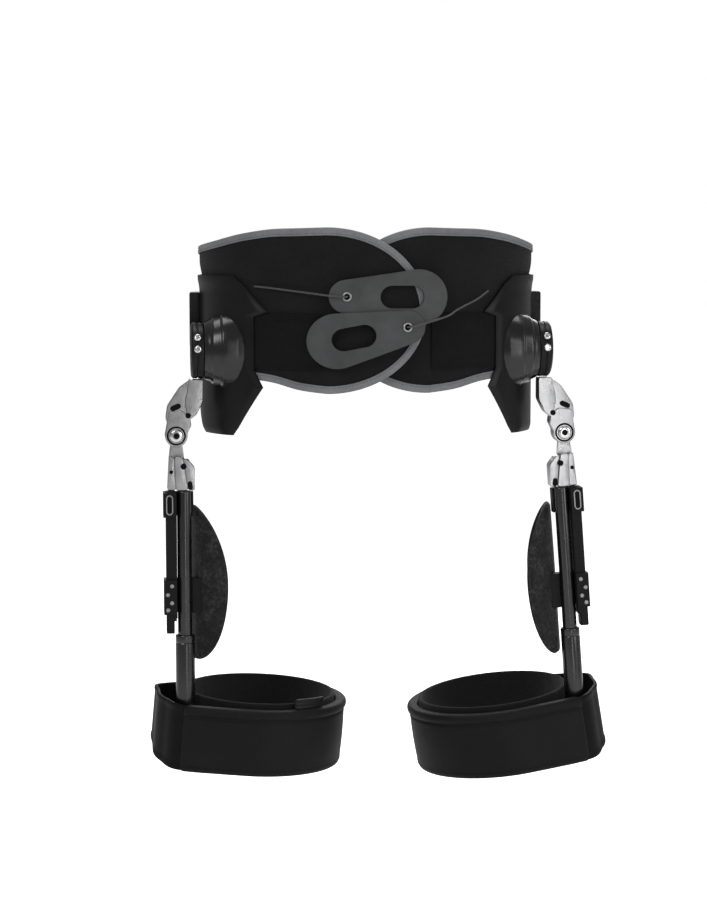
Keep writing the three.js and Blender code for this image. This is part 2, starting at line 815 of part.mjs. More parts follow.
function upperLink() {
  const rim = hipAxisHeight - hingeRadius - seatGap;
  const shape = new THREE.Shape();
  upperLinkOutline.forEach((row, i) => {
    if (i === 0) shape.moveTo(hingeIn + row.out, rim - row.down);
    else shape.lineTo(hingeIn + row.out, rim - row.down);
  });
  shape.absarc(pivotAcross, pivotHeight, earRadius, 0, -Math.PI, true);
  upperLinkInside.forEach((row) => shape.lineTo(hingeIn + row.out, mix(rim, pivotHeight, row.share)));
  const body = toSolid(slab(shape, linkThickness, hipAxisDepth));
  const slotHalf = eyeThickness / 2 + runningGap;
  const slot = toSolid(
    box(
      [pivotAcross - 2 * earRadius, hipAxisDepth - slotHalf, pivotHeight - 2 * earRadius],
      [pivotAcross + 2 * earRadius, hipAxisDepth + slotHalf, pivotHeight + earRadius + seatGap],
    ),
  );
  const bore = toSolid(
    lying(pinRadius + seatGap, 2 * linkThickness, pivotAcross, hipAxisDepth, pivotHeight, smallSides),
  );
  return toGeometry(body.subtract(slot).subtract(bore));
}

function abductionPin() {
  const half = linkThickness / 2 + seatGap;
  const rows = [
    { along: -half - pinHeadHeight, radius: 0 },
    { along: -half - pinHeadHeight, radius: pinHeadRadius },
    { along: -half, radius: pinHeadRadius },
    { along: -half, radius: pinRadius },
    { along: half, radius: pinRadius },
    { along: half, radius: pinHeadRadius },
    { along: half + pinHeadHeight, radius: pinHeadRadius },
    { along: half + pinHeadHeight, radius: 0 },
  ];
  const profile = rows.map((row) => new THREE.Vector2(row.radius, row.along));
  const geometry = new THREE.LatheGeometry(profile, smallSides);
  geometry.translate(pivotAcross, hipAxisDepth, pivotHeight);
  return geometry;
}

function lowerLink() {
  const eye = new THREE.Shape();
  const neckHalf = eyeRadius * eyeNeckShare;
  eye.absarc(pivotAcross, pivotHeight, eyeRadius, 0, Math.PI, false);
  eye.lineTo(pivotAcross - neckHalf, lowerLinkTop - eyeRooted);
  eye.lineTo(pivotAcross + neckHalf, lowerLinkTop - eyeRooted);
  const tongue = toSolid(slab(eye, eyeThickness, hipAxisDepth));
  const half = lowerLinkWidth / 2;
  const middle = rodAcross + lowerLinkShift;
  const body = new THREE.Shape();
  body.moveTo(middle - half / 2, lowerLinkTop);
  body.lineTo(middle - half, lowerLinkTop - lowerLinkShoulder);
  body.lineTo(middle - half, lowerLinkBottom + lowerLinkChamfer);
  body.lineTo(middle - half + lowerLinkChamfer, lowerLinkBottom);
  body.lineTo(middle + half - lowerLinkChamfer, lowerLinkBottom);
  body.lineTo(middle + half, lowerLinkBottom + lowerLinkChamfer);
  body.lineTo(middle + half, lowerLinkTop);
  const depth = (hipAxisDepth + rodDepth) / 2;
  const block = toSolid(slab(body, lowerLinkDepth, depth));
  const bore = toSolid(
    lying(pinRadius + runningGap, 2 * linkThickness, pivotAcross, hipAxisDepth, pivotHeight, smallSides),
  );
  return toGeometry(tongue.add(block).subtract(bore));
}

// Upright

function tube() {
  const bottom = tubeTop - tubeLength;
  const profile = [
    new THREE.Vector2(tubeBore, bottom),
    new THREE.Vector2(tubeRadius, bottom),
    new THREE.Vector2(tubeRadius, tubeTop),
    new THREE.Vector2(tubeBore, tubeTop),
    new THREE.Vector2(tubeBore, bottom),
  ];
  const geometry = new THREE.LatheGeometry(profile, smallSides);
  geometry.rotateX(Math.PI / 2);
  geometry.translate(rodAcross, rodDepth, 0);
  return toGeometry(toSolid(geometry).add(tubeLug(bottom)));
}

// The lug that carries the cuff: it reaches from the tube's outer side to the shell's inner face.
function tubeLug(bottom) {
  const reach = 3 * tubeRadius;
  const block = box(
    [rodAcross + tubeBore + tubeWall / 2, rodDepth - lugWidth / 2, bottom + seatGap],
    [rodAcross + reach, rodDepth + lugWidth / 2, bottom + lugHeight],
  );
  const inner = -shellThickness / 2 - seatGap;
  const outline = [
    new THREE.Vector2(inner, bottom - bandHeight),
    new THREE.Vector2(reach, bottom - bandHeight),
    new THREE.Vector2(reach, bottom + 2 * bandHeight),
    new THREE.Vector2(inner, bottom + 2 * bandHeight),
  ];
  const beyond = toSolid(cuffWall(shellStations(shellRows()), () => outline));
  return toSolid(block).subtract(beyond);
}

// The flat bar beside the rod. Its lower end is notched, where the tube slides up past it.
function outerBar() {
  const bar = box(
    [barIn, rodDepth - barWidth / 2, barTop - barLength],
    [barIn + barThickness, rodDepth + barWidth / 2, barTop],
  );
  const notchTop = tubeTop + tubeRise + barNotchSpace;
  const notch = box(
    [rodAcross, rodDepth - barWidth, barTop - 2 * barLength],
    [rodAcross + tubeRadius + 2 * runningGap, rodDepth + barWidth, notchTop],
  );
  return toGeometry(toSolid(bar).subtract(toSolid(notch)));
}

// A block behind the rod and round the bar, which carries the pad where it reaches it.
function rodBlock(top, height, innerAcross) {
  const bottom = top - height;
  const outside = barIn + barThickness + seatGap + blockWall;
  const front = rodDepth - barWidth / 2 - seatGap - blockWall;
  const back = rodDepth + barWidth / 2 + seatGap + blockBackWall;
  const behind = toSolid(box([innerAcross, rodDepth, bottom], [outside, back, top]));
  const round = toSolid(box([barIn, front, bottom], [outside, back, top]));
  const barSpace = toSolid(
    box(
      [rodAcross, rodDepth - barWidth / 2 - seatGap, bottom - height],
      [barIn + barThickness + seatGap, rodDepth + barWidth / 2 + seatGap, top + height],
    ),
  );
  const bore = toSolid(
    upright(rodRadius + seatGap, bottom - height, top + height, rodAcross, rodDepth, smallSides),
  );
  const padSpace = toSolid(
    upright(
      padCurveRadius + seatGap,
      bottom - height,
      top + height,
      padCurveAcross,
      padCurveDepth,
      2 * roundSides,
    ),
  );
  return toGeometry(behind.add(round).subtract(barSpace).subtract(bore).subtract(padSpace));
}

// Oval pad that wraps the side of the thigh.
function thighPad() {
  const rows = 9;
  const shares = [-1, -0.75, -0.5, -0.25, 0, 0.25, 0.5, 0.75, 1];
  const outline = [
    ...shares.map((share) => new THREE.Vector2(share, 0)),
    ...[...shares].reverse().map((share) => {
      const thick = mix(padThickness, padEdgeThickness, share * share);
      return new THREE.Vector2(share, -thick);
    }),
  ];
  const middleHeight = rodTop - padTopDrop - padHeight / 2;
  const nearlyPole = THREE.MathUtils.degToRad(padPoleAngle);
  const rings = [];
  for (let i = 0; i < rows; i++) {
    const turn = mix(nearlyPole, Math.PI - nearlyPole, i / (rows - 1));
    const height = middleHeight + (padHeight / 2) * Math.cos(turn);
    const fullness = turn < Math.PI / 2 ? padFullness.upper : padFullness.lower;
    const reach = padHalfAngle * Math.sin(turn) ** fullness;
    rings.push(
      outline.map((point) => {
        const angle = THREE.MathUtils.degToRad(padMiddleAngle + reach * point.x);
        const radius = padCurveRadius + point.y * Math.sin(turn) ** padRimPower;
        return new THREE.Vector3(
          padCurveAcross + radius * Math.cos(angle),
          padCurveDepth + radius * Math.sin(angle),
          height,
        );
      }),
    );
  }
  return loft(rings, outline);
}

// Cuff

// Stations along a plan path, each with a point, its outward normal and its edges' heights.
function planStations(table, halfWidth, halfDepth, steps, isLoop = false) {
  const points = table.map(
    (row) => new THREE.Vector3(cuffAcross + halfWidth * row.across, cuffDepth + halfDepth * row.ahead, 0),
  );
  const curve = new THREE.CatmullRomCurve3(points, isLoop, "centripetal");
  const stations = [];
  const count = isLoop ? steps : steps + 1;
  for (let i = 0; i < count; i++) {
    const share = i / steps;
    const point = curve.getPoint(share);
    const along = curve.getTangent(share);
    const normal = new THREE.Vector3(along.y, -along.x, 0);
    const fromMiddle = point.clone().sub(new THREE.Vector3(cuffAcross, cuffDepth, 0));
    if (normal.dot(fromMiddle) < 0) normal.negate();
    stations.push({ point, normal, share });
  }
  return stations;
}

function cuffHeight(across, height) {
  return height + cuffTilt * (across - cuffAcross);
}

// A wall along plan stations whose outline gives distance outwards and height.
function cuffWall(stations, outlineAt, isLoop = false) {
  const rings = stations.map((station) =>
    outlineAt(station).map((point) => {
      const place = station.point.clone().addScaledVector(station.normal, point.x);
      place.x += cuffLean * (bandTop - point.y);
      place.z = cuffHeight(station.point.x, point.y);
      return place;
    }),
  );
  return loft(rings, outlineAt(stations[0]), isLoop);
}

function cuffLiner() {
  const steps = 28;
  const table = [];
  for (let i = 0; i < steps; i++) {
    const turn = (2 * Math.PI * i) / steps;
    table.push({ across: Math.sin(turn), ahead: -Math.cos(turn) });
  }
  const outline = [
    new THREE.Vector2(-linerOut, bandTop - bandHeight + linerRise),
    new THREE.Vector2(linerOut, bandTop - bandHeight + linerRise),
    new THREE.Vector2(linerOut, bandTop + linerRise),
    new THREE.Vector2(-linerOut, bandTop + linerRise),
  ];
  return cuffWall(planStations(table, thighHalfWidth, thighHalfDepth, steps, true), () => outline, true);
}

function cuffBand() {
  const half = bandThickness / 2;
  const bottom = bandTop - bandHeight;
  const outline = [
    new THREE.Vector2(-half, bottom + bandChamfer),
    new THREE.Vector2(-half + bandChamfer, bottom),
    new THREE.Vector2(half - bandChamfer, bottom),
    new THREE.Vector2(half, bottom + bandFrontChamfer),
    new THREE.Vector2(half, bandTop - bandRollHeight),
    new THREE.Vector2(half + bandRollOut, bandTop - bandRollHeight * 0.7),
    new THREE.Vector2(half + bandRollOut, bandTop - bandRollHeight * 0.3),
    new THREE.Vector2(half - bandTopInset, bandTop),
    new THREE.Vector2(-half + bandTopInset, bandTop),
    new THREE.Vector2(-half, bandTop - bandChamfer),
  ];
  const path = [...bandCorner];
  const turnStep = 15;
  for (let degrees = turnStep; degrees >= -bandEndAngle; degrees -= turnStep) {
    const turn = THREE.MathUtils.degToRad(degrees);
    path.push({ across: Math.sin(turn), ahead: -Math.cos(turn) });
  }
  const stations = planStations(path, thighHalfWidth + bandMiddle, thighHalfDepth + bandMiddle, 33);
  return cuffWall(stations, () => outline);
}

// The shell's plan path, whose end follows the band's outer face.
function shellRows() {
  const reach = bandThickness / 2 + bandRollOut + seatGap + chordAllowance + shellThickness / 2;
  const bandWidth = thighHalfWidth + bandMiddle;
  const bandDepth = thighHalfDepth + bandMiddle;
  const end = shellEnd.map((row) => {
    const turn = THREE.MathUtils.degToRad(row.turned);
    return {
      across: Math.sin(turn) * (1 + reach / bandWidth),
      ahead: -Math.cos(turn) * (1 + reach / bandDepth),
      top: row.top,
      bottom: row.bottom,
    };
  });
  const rows = [...shellPath, ...end];
  return rows.map((row, i) => ({ ...row, share: i / (rows.length - 1) }));
}

function shellStations(rows) {
  return planStations(rows, thighHalfWidth + bandMiddle, thighHalfDepth + bandMiddle, 18);
}

function cuffShell() {
  const half = shellThickness / 2;
  const rows = shellRows();
  const stations = shellStations(rows);
  const outlineAt = (station) => {
    const top = bandTop - bandHeight + bandHeight * readTable(rows, "share", station.share, "top");
    const bottom = bandTop - bandHeight + bandHeight * readTable(rows, "share", station.share, "bottom");
    return [
      new THREE.Vector2(-half, bottom),
      new THREE.Vector2(half, bottom),
      new THREE.Vector2(half, top),
      new THREE.Vector2(-half, top),
    ];
  };
  return cuffWall(stations, outlineAt);
}

// Small tab that stands on the band's top at the inner front.
function cuffTab() {
  const halfWidth = thighHalfWidth + bandMiddle;
  const halfDepth = thighHalfDepth + bandMiddle;
  const middle = THREE.MathUtils.degToRad(cuffTabAngle);
  const spread = cuffTabWidth / 2 / halfWidth;
  const steps = 4;
  const foot = bandTop + seatGap;
  const outline = [
    new THREE.Vector2(-cuffTabThickness / 2, foot),
    new THREE.Vector2(cuffTabThickness / 2, foot),
    new THREE.Vector2(cuffTabThickness / 2, foot + cuffTabHeight),
    new THREE.Vector2(-cuffTabThickness / 2, foot + cuffTabHeight),
  ];
  const table = [];
  for (let i = 0; i <= steps; i++) {
    const turn = middle + mix(-spread, spread, i / steps);
    table.push({ across: Math.sin(turn), ahead: -Math.cos(turn) });
  }
  return cuffWall(planStations(table, halfWidth, halfDepth, steps), () => outline);
}

// Assembly

// A group whose contents turn about a line front to back through the abduction pivot.
function abducted(degrees) {
  const outer = new THREE.Group();
  const inner = new THREE.Group();
  outer.position.set(pivotAcross, 0, pivotHeight);
  outer.rotation.y = -THREE.MathUtils.degToRad(degrees);
  inner.position.set(-pivotAcross, 0, -pivotHeight);
  outer.add(inner);
  return { outer, inner };
}

function buildSide(side) {
  const isUpper = side === "right";
  const group = new THREE.Group();
  if (side === "right") group.scale.x = -1;
  const atWaist = [
    mesh(`belt_panel_${side}`, beltPanel(isUpper), "cloth"),
    mesh(`binding_${side}`, edgeBinding(isUpper), "trim"),
    mesh(`front_strap_${side}`, frontStrap(isUpper, strapEndAcross[side]), "strap"),
    mesh(`hip_plate_${side}`, hipPlate(), "moulded"),
    mesh(`keeper_${side}`, keeper(), "moulded"),
  ];
  const swinging = [
    mesh(`hinge_disc_${side}`, hingeDisc(), "moulded"),
    stopScrew(`stop_screw_upper_${side}`, stopScrewAngles.upper),
    stopScrew(`stop_screw_lower_${side}`, stopScrewAngles.lower),
    mesh(`upper_link_${side}`, upperLink(), "steel"),
    mesh(`abduction_pin_${side}`, abductionPin(), "steel"),
  ];
  const rod = upright(rodRadius, rodBottom, rodTop, rodAcross, rodDepth, smallSides);
  const latch = rodBlock(barTop - latchDrop, latchHeight, rodAcross - rodRadius - blockWall);
  const insidePad = padCurveAcross + padCurveRadius / 2; // the pad's curve then cuts the clamp's inner end
  const clamp = rodBlock(clampTop, clampHeight, insidePad);
  const onThigh = [
    mesh(`lower_link_${side}`, lowerLink(), "steel"),
    mesh(`rod_${side}`, rod, "blackTube"),
    mesh(`outer_bar_${side}`, outerBar(), "moulded"),
    mesh(`bar_latch_${side}`, latch, "steel"),
    mesh(`pad_clamp_${side}`, clamp, "steel"),
    mesh(`thigh_pad_${side}`, thighPad(), "mesh"),
    mesh(`tube_${side}`, tube(), "blackTube"),
    mesh(`cuff_shell_${side}`, cuffShell(), "moulded"),
    mesh(`cuff_band_${side}`, cuffBand(), "cloth"),
    mesh(`cuff_liner_${side}`, cuffLiner(), "cloth"),
  ];
  if (side === "right") onThigh.push(mesh(`cuff_tab_${side}`, cuffTab(), "cloth"));
  const leg = abducted(restAbduction[side]);
  leg.inner.add(...onThigh);
  group.add(...atWaist, ...swinging, leg.outer);
  return group;
}

const orthosis = new THREE.Group();
orthosis.add(
  mesh("belt_back", beltBack(), "cloth"),
  mesh("pull_tab_upper", pullTab(tabPlaces.upper, upperTabIn, upperTabOut), "tab"),
  mesh("pull_tab_lower", pullTab(tabPlaces.lower, lowerTabIn, lowerTabOut), "tab"),
  eyelet("eyelet_upper", tabPlaces.upper, upperTabOut),
  eyelet("eyelet_lower", tabPlaces.lower, lowerTabOut),
  mesh("pull_cord_right", pullCord(cordRoutes.right), "strap"),
  mesh("pull_cord_left", pullCord(cordRoutes.left), "strap"),
  buildSide("right"),
  buildSide("left"),
);

export default orthosis;
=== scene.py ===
"""Looks of a bilateral hip orthosis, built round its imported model.

A padded belt closes at the front with two lapped panels, pull tabs and cords. A moulded hip plate on each
side carries a flexion hinge, bright pivot links, an upright with a thigh pad, and a telescoping tube that
ends in a padded thigh cuff. Lengths are in metres, +Z is up, -Y is the wearer's front. One side is worked
out with X pointing away from the body, and mirrored for the wearer's right.
"""

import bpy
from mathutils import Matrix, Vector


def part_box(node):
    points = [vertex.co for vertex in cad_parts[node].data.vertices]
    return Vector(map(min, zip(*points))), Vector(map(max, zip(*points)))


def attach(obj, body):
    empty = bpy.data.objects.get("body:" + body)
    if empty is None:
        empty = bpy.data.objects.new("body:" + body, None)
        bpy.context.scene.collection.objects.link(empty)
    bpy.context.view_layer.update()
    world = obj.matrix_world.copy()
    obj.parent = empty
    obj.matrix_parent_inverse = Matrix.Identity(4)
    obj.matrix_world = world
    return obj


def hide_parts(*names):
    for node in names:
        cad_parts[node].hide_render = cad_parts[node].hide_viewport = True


bl_info = {
    "name": "Hip orthosis looks",
    "version": (1, 0, 0),
    "blender": (4, 5, 0),
    "location": "View3D > Sidebar > Hip orthosis",
    "description": "Builds the visible surfaces of a bilateral hip orthosis",
    "category": "Object",
}

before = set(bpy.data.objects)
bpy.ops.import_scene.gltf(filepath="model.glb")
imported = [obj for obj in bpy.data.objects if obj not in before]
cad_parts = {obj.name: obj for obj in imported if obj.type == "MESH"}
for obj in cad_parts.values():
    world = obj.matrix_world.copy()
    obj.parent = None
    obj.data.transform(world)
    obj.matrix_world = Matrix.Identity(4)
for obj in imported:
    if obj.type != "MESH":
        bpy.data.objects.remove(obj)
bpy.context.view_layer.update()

import bpy
import numpy as np
from bpy.props import FloatProperty, FloatVectorProperty, PointerProperty
from mathutils import Vector

SIDES = {"right": -1, "left": 1}
UP = np.array([0.0, 0.0, 1.0])
FULL = 2 * np.pi

# The picture's frame, and the pixel in it that the camera's aim falls on
PICTURE_WIDTH = 707
PICTURE_HEIGHT = 906
AIM_PIXEL = (366, 472)
PIXELS_PER_METRE = 1000

# Waist: an upright ellipse that flares towards the belt's top edge
WAIST_HALF_WIDTH = 0.1575
WAIST_HALF_DEPTH = 0.118
WAIST_FLARE = 0.005
FLARE_START = 0.06
FLARE_HEIGHT = 0.032

# Belt layers, measured outwards from the waist surface
PANEL_OUT = 0.002
BINDING_OUT = 0.0033
LAP_OFFSET = 0.00725
STRAP_IN = 0.0023
STRAP_OUT = 0.0037
PLATE_IN = 0.00435
PLATE_OUT = 0.00735
TAB_THICKNESS = 0.0025
TAB_FACES = {"upper": 0.0137, "lower": 0.01685}

# Belt outline
TONGUE_RADIUS = 0.077
TONGUE_REACH = 0.09
TONGUE_CENTRE = 0.048
BELT_MIDDLE = 0.045
STRAP_HEIGHTS = (-0.011, 0.042)
STRAP_ENDS = {"right": 0.053, "left": 0.05}
PANEL_BACK = np.radians(100)
LAP_START = np.radians(40)
LAP_RUN = np.radians(22)
PANEL_EDGE = {
    "turn": [0, 0.12, 0.25, 0.4, 0.6, 1],
    "top": [1, 0.99, 0.98, 0.93, 0.84, 0.74],
    "bottom": [1, 0.96, 0.88, 0.84, 0.8, 0.74],
}

# Hip plate rows: height as a share from bottom to top, edges in degrees past the plate's own front and back
PLATE_FRONT = 46
PLATE_BACK = 110
PLATE_ROWS = {
    "height": [0, 0.05, 0.18, 0.31, 0.42, 0.6, 0.75, 0.78, 0.885, 0.95, 1],
    "front": [11, 8, 2, -4, 0, 0, 0, -6, 1, 5, 10],
    "back": [-30, -25, -15, -8, -3, 0, 0, 0, -1, -2, -6],
}

# Dome profile from its foot to its face: shares of its depth and of its radius
DOME_RINGS = {
    "depth": [0, 0.4, 0.5, 0.6, 0.66, 0.68, 0.7, 0.78, 0.84, 0.865, 0.885, 0.94, 0.985, 1],
    "radius": [1, 1, 0.975, 0.95, 0.93, 0.92, 0.885, 0.85, 0.825, 0.8, 0.765, 0.73, 0.695, 0.675],
}
DOME_RADIUS = 0.04
DOME_DEPTH = 0.052
DOME_SLIMNESS = 0.8

# Hinges and upright
HIP_AXIS = (-0.048, 0.005)
BOSS_FACE = 0.1625
HINGE_RADIUS = 0.027
HINGE_IN = 0.1628
HINGE_FACE = 0.1753
PIVOT = (0.19, -0.077)
ROD = (0.183, -0.055)
REST_ABDUCTION = {"right": 0.0, "left": np.radians(4.3)}

# Links: outlines across and up in millimetres, and screws as a place and a radius
FORK_SLAB = [(164, -22.5), (177.2, -22.5), (181.5, -44), (178.5, -63), (170.5, -57), (164, -44)]
FORK_ARM = [(175, -22.5), (186.6, -30.5), (198.6, -48.5), (200.3, -60), (199, -65), (177, -65), (175, -44)]
FORK_CHEEK_TOP = [(176.6, -59), (184, -52.5), (197, -54)]
FORK_CHEEK_END = (175.2, -67)
FORK_SCREW = ((178.4, -57.5), 2.7)
SHANK_NECK = [(182.4, -99), (197.6, -99)]
SHANK_CORE = [(178, -99.5), (196.5, -98.5), (198, -129), (174, -129)]
SHANK_OUTER = [(192.6, -97.4), (197.4, -97.4), (199.3, -129.8), (191.4, -129.8)]
SHANK_BRIGHT = [(184.2, -97.4), (192, -97.4), (190.7, -129.8), (179.4, -129.8)]
SHANK_INNER = [(178.6, -100.5), (183.6, -98), (178.7, -129.8), (172.4, -129.8), (172.4, -108)]
SHANK_UPPER_SCREW = ((183.4, -106.5), 2.9)
SHANK_SIDE_SCREW = ((195.2, -112), 1.9)
PIVOT_PLACE = (190, -77)
CLAMP_SCREWS = [(195.4, -222.5), (199.6, -231), (195.6, -239), (199.4, -246)]
LATCH_SLOT = (197.2, -143.5)

# Thigh pad: part of an upright round wall
PAD_CENTRE = (0.118, -0.02)
PAD_RADIUS = 0.06
PAD_MIDDLE = np.radians(-10)
PAD_HALF = np.radians(56)

# Thigh cuff: an upright ellipse round the thigh
CUFF_CENTRE = (0.108, -0.005)
LINER_HALF = (0.073, 0.078)
BAND_HALF = (0.08065, 0.08565)
BAND_TOP = -0.341
BAND_HEIGHT = 0.065
CUFF_TILT = 0.05
CUFF_LEAN = 0.09
LEANING_UP = np.array([-CUFF_LEAN, 0.0, 1.0])

# Pull tabs: wide end, narrow end, across and up on the belt's front
TAB_PLACES = {
    "upper": {"wide": (0.0345, 0.058), "narrow": (-0.0295, 0.0585)},
    "lower": {"wide": (-0.038, 0.017), "narrow": (0.0233, 0.03)},
}
TAB_RADII = (0.026, 0.016)
SLOT_RADIUS = 0.0105
SLOT_HALF = 0.009
SLOT_SHIFT = 0.015

# Pull cords, held at both ends: across and up on the belt's front, and the lift of the cord's middle
CORD_ROUTES = {
    "right": [
        (-0.0295, 0.0585, 0.0127),
        (-0.0299, 0.0585, 0.0153),
        (-0.0325, 0.0586, 0.0169),
        (-0.038, 0.0589, 0.0167),
        (-0.047, 0.0598, 0.0157),
        (-0.057, 0.0611, 0.0131),
        (-0.068, 0.0625, 0.011),
        (-0.082, 0.0642, 0.0082),
        (-0.098, 0.066, 0.0048),
        (-0.113, 0.0675, 0.0039),
    ],
    "left": [
        (0.0233, 0.03, 0.01585),
        (0.0237, 0.0301, 0.01845),
        (0.0263, 0.0306, 0.02005),
        (0.032, 0.032, 0.01985),
        (0.041, 0.0344, 0.01905),
        (0.051, 0.0373, 0.01745),
        (0.061, 0.0405, 0.0155),
        (0.07, 0.045, 0.0105),
        (0.08, 0.049, 0.0064),
        (0.094, 0.055, 0.0043),
        (0.106, 0.063, 0.004),
    ],
}


# Numbers and shapes


def smooth(share):
    """Rises from 0 to 1 with level ends: 3 t squared minus 2 t cubed, held outside 0 to 1."""
    held = np.clip(share, 0, 1)
    return held * held * (3 - 2 * held)


def through(known, values, at):
    """A smooth curve through a table: cubic pieces whose slopes at the rows are those of their neighbours."""
    known, values = np.asarray(known, float), np.asarray(values, float)
    slopes = np.gradient(values, known)
    span = np.clip(np.searchsorted(known, at) - 1, 0, len(known) - 2)
    width = known[span + 1] - known[span]
    t = (np.clip(at, known[0], known[-1]) - known[span]) / width
    start = (1 + 2 * t) * (1 - t) ** 2 * values[span] + t * (1 - t) ** 2 * width * slopes[span]
    end = t * t * (3 - 2 * t) * values[span + 1] + t * t * (t - 1) * width * slopes[span + 1]
    return start + end


def unit(vectors):
    """Vectors divided by their length."""
    return vectors / np.linalg.norm(vectors, axis=-1, keepdims=True)


def travelled(points):
    """Length along a row of points, from 0 at the first."""
    steps = np.linalg.norm(np.diff(points, axis=0), axis=-1)
    return np.concatenate([[0], np.cumsum(steps)])


def evenly(points, count):
    """The same path through count points that lie an equal length apart."""
    length = travelled(points)
    at = np.linspace(0, length[-1], count)
    return np.stack([np.interp(at, length, points[:, k]) for k in range(3)], -1)


def softly(points, count):
    """A smooth path through a few chosen points: each coordinate runs through them by cubic pieces."""
    points = np.asarray(points, float)
    length = travelled(points)
    at = np.linspace(0, length[-1], count)
    return np.stack([through(length, points[:, k], at) for k in range(points.shape[1])], -1)


class Shape:
    """Points, faces as lists of point numbers, and surface coordinates in metres for each face corner."""

    def __init__(self, points, faces, corners):
        self.points = np.asarray(points, float).reshape(-1, 3)
        self.faces = faces
        self.corners = np.asarray(corners, float).reshape(-1, 2)


def joined(shapes):
    """One shape of several: face numbers are moved on by the points that came before."""
    points, faces, corners, offset = [], [], [], 0
    for shape in shapes:
        points.append(shape.points)
        faces += [[k + offset for k in face] for face in shape.faces]
        corners.append(shape.corners)
        offset += len(shape.points)
    return Shape(np.concatenate(points), faces, np.concatenate(corners))


def gridded(points, surface, is_round=False, is_loop=False, has_caps=False):
    """Quads over a grid of points, rows along and columns round. A round grid joins its last column to its
    first, a loop its last row to its first, and caps close a round grid's two ends."""
    rows, columns = points.shape[:2]
    down = np.arange(rows if is_loop else rows - 1)
    over = np.arange(columns if is_round else columns - 1)
    r, c = np.meshgrid(down, over, indexing="ij")
    corners = [(r, c), (r + 1, c), (r + 1, c + 1), (r, c + 1)]
    quads = np.stack([(i % rows) * columns + j % columns for i, j in corners], -1).reshape(-1, 4)
    coordinates = np.stack([surface[i, j] for i, j in corners], -2).reshape(-1, 2)
    faces = quads.tolist()
    if has_caps:
        ring = np.arange(columns)
        faces += [ring.tolist(), (ring[::-1] + (rows - 1) * columns).tolist()]
        coordinates = np.concatenate([coordinates, surface[0, :columns], surface[-1, :columns]])
    return Shape(points, faces, coordinates)


def carried(centres, outs, ups, sections, is_loop=False, has_caps=True):
    """A closed profile carried along a path: centre plus out times the profile's first coordinate plus up
    times its second. Surface coordinates are the length along the path and the length round the profile."""
    sections = np.broadcast_to(sections, (len(centres), *np.shape(sections)[-2:]))
    points = centres[:, None] + outs[:, None] * sections[..., :1] + ups[:, None] * sections[..., 1:]
    closed = np.concatenate([points, points[:, :1]], 1)
    middle = closed[len(centres) // 2]
    round_length = travelled(middle)
    path = np.concatenate([centres, centres[:1]]) if is_loop else centres
    along = travelled(path)
    surface = np.stack(np.meshgrid(along, round_length, indexing="ij"), -1)
    return gridded(points, surface, True, is_loop, has_caps and not is_loop)


def rounded_section(half, low, high, radius, side_steps=8, round_steps=4, end_steps=1):
    """Rounded rectangles, one for each entry of half, low or high: half is half the thickness outwards, low
    and high are the edges' heights. Each corner is a quarter circle and the sides are divided evenly."""
    half, low, high, radius = np.broadcast_arrays(half, low, high, radius)
    half, low, high = (np.atleast_1d(v).astype(float)[:, None] for v in (half, low, high))
    radius = np.minimum(np.atleast_1d(radius)[:, None], np.minimum(half, (high - low) / 2) * 0.98)
    quarter = np.linspace(0, np.pi / 2, round_steps + 1)
    side = np.linspace(0, 1, side_steps + 1)[1:-1]
    end = np.linspace(1, -1, end_steps + 1)[1:-1]
    ones, none = np.ones_like(quarter), np.zeros_like(quarter)
    rows = [
        (np.ones_like(side), side, np.ones_like(side), np.zeros_like(side)),
        (ones, ones, np.cos(quarter), np.sin(quarter)),
        (end, np.ones_like(end), np.zeros_like(end), np.ones_like(end)),
        (-ones, ones, -np.sin(quarter), np.cos(quarter)),
        (-np.ones_like(side), side[::-1], -np.ones_like(side), np.zeros_like(side)),
        (-ones, none, -np.cos(quarter), -np.sin(quarter)),
        (-end, np.zeros_like(end), np.zeros_like(end), -np.ones_like(end)),
        (ones, none, np.sin(quarter), -np.cos(quarter)),
    ]
    place, share, arc_out, arc_up = (np.concatenate(column) for column in zip(*rows))
    out = place * (half - radius) + radius * arc_out
    up = (low + radius) * (1 - share) + (high - radius) * share + radius * arc_up
    return np.stack([out, up], -1)


def turned(along, radius, sides, axis, centre):
    """A surface of revolution: rows of distance along the axis and radius, turned about the axis letter
    through the centre. Surface coordinates are the arc at the widest radius and the length of the profile."""
    along, radius = np.asarray(along, float), np.asarray(radius, float)
    angle = np.linspace(0, FULL, sides, endpoint=False)
    first, second = radius[:, None] * np.cos(angle), radius[:, None] * np.sin(angle)
    third = np.broadcast_to(along[:, None], first.shape)
    order = {"x": (third, first, second), "y": (second, third, first), "z": (first, second, third)}
    points = np.stack(order[axis], -1) + np.asarray(centre, float)
    length = travelled(np.stack([along, radius], -1))
    arc = np.linspace(0, FULL * radius.max(), sides + 1)
    across = np.broadcast_to(arc, (len(along), sides + 1))
    surface = np.stack([across, np.repeat(length[:, None], sides + 1, 1)], -1)
    return gridded(points, surface, True)


def rounded_turning(rows, bevel, steps=4):
    """A turning's profile whose inner corners are cut back by a quarter curve: each corner between two
    rows becomes a quadratic curve that starts and ends one bevel away from it."""
    rows = np.asarray(rows, float)
    t = np.linspace(0, 1, steps + 1)[:, None]
    pieces = [rows[:1]]
    for before, corner, after in zip(rows[:-2], rows[1:-1], rows[2:]):
        reach = [min(bevel, np.linalg.norm(p - corner) * 0.45) for p in (before, after)]
        start = corner + unit(before - corner) * reach[0]
        end = corner + unit(after - corner) * reach[1]
        pieces.append((1 - t) ** 2 * start + 2 * t * (1 - t) * corner + t * t * end)
    pieces.append(rows[-1:])
    return np.concatenate(pieces).T


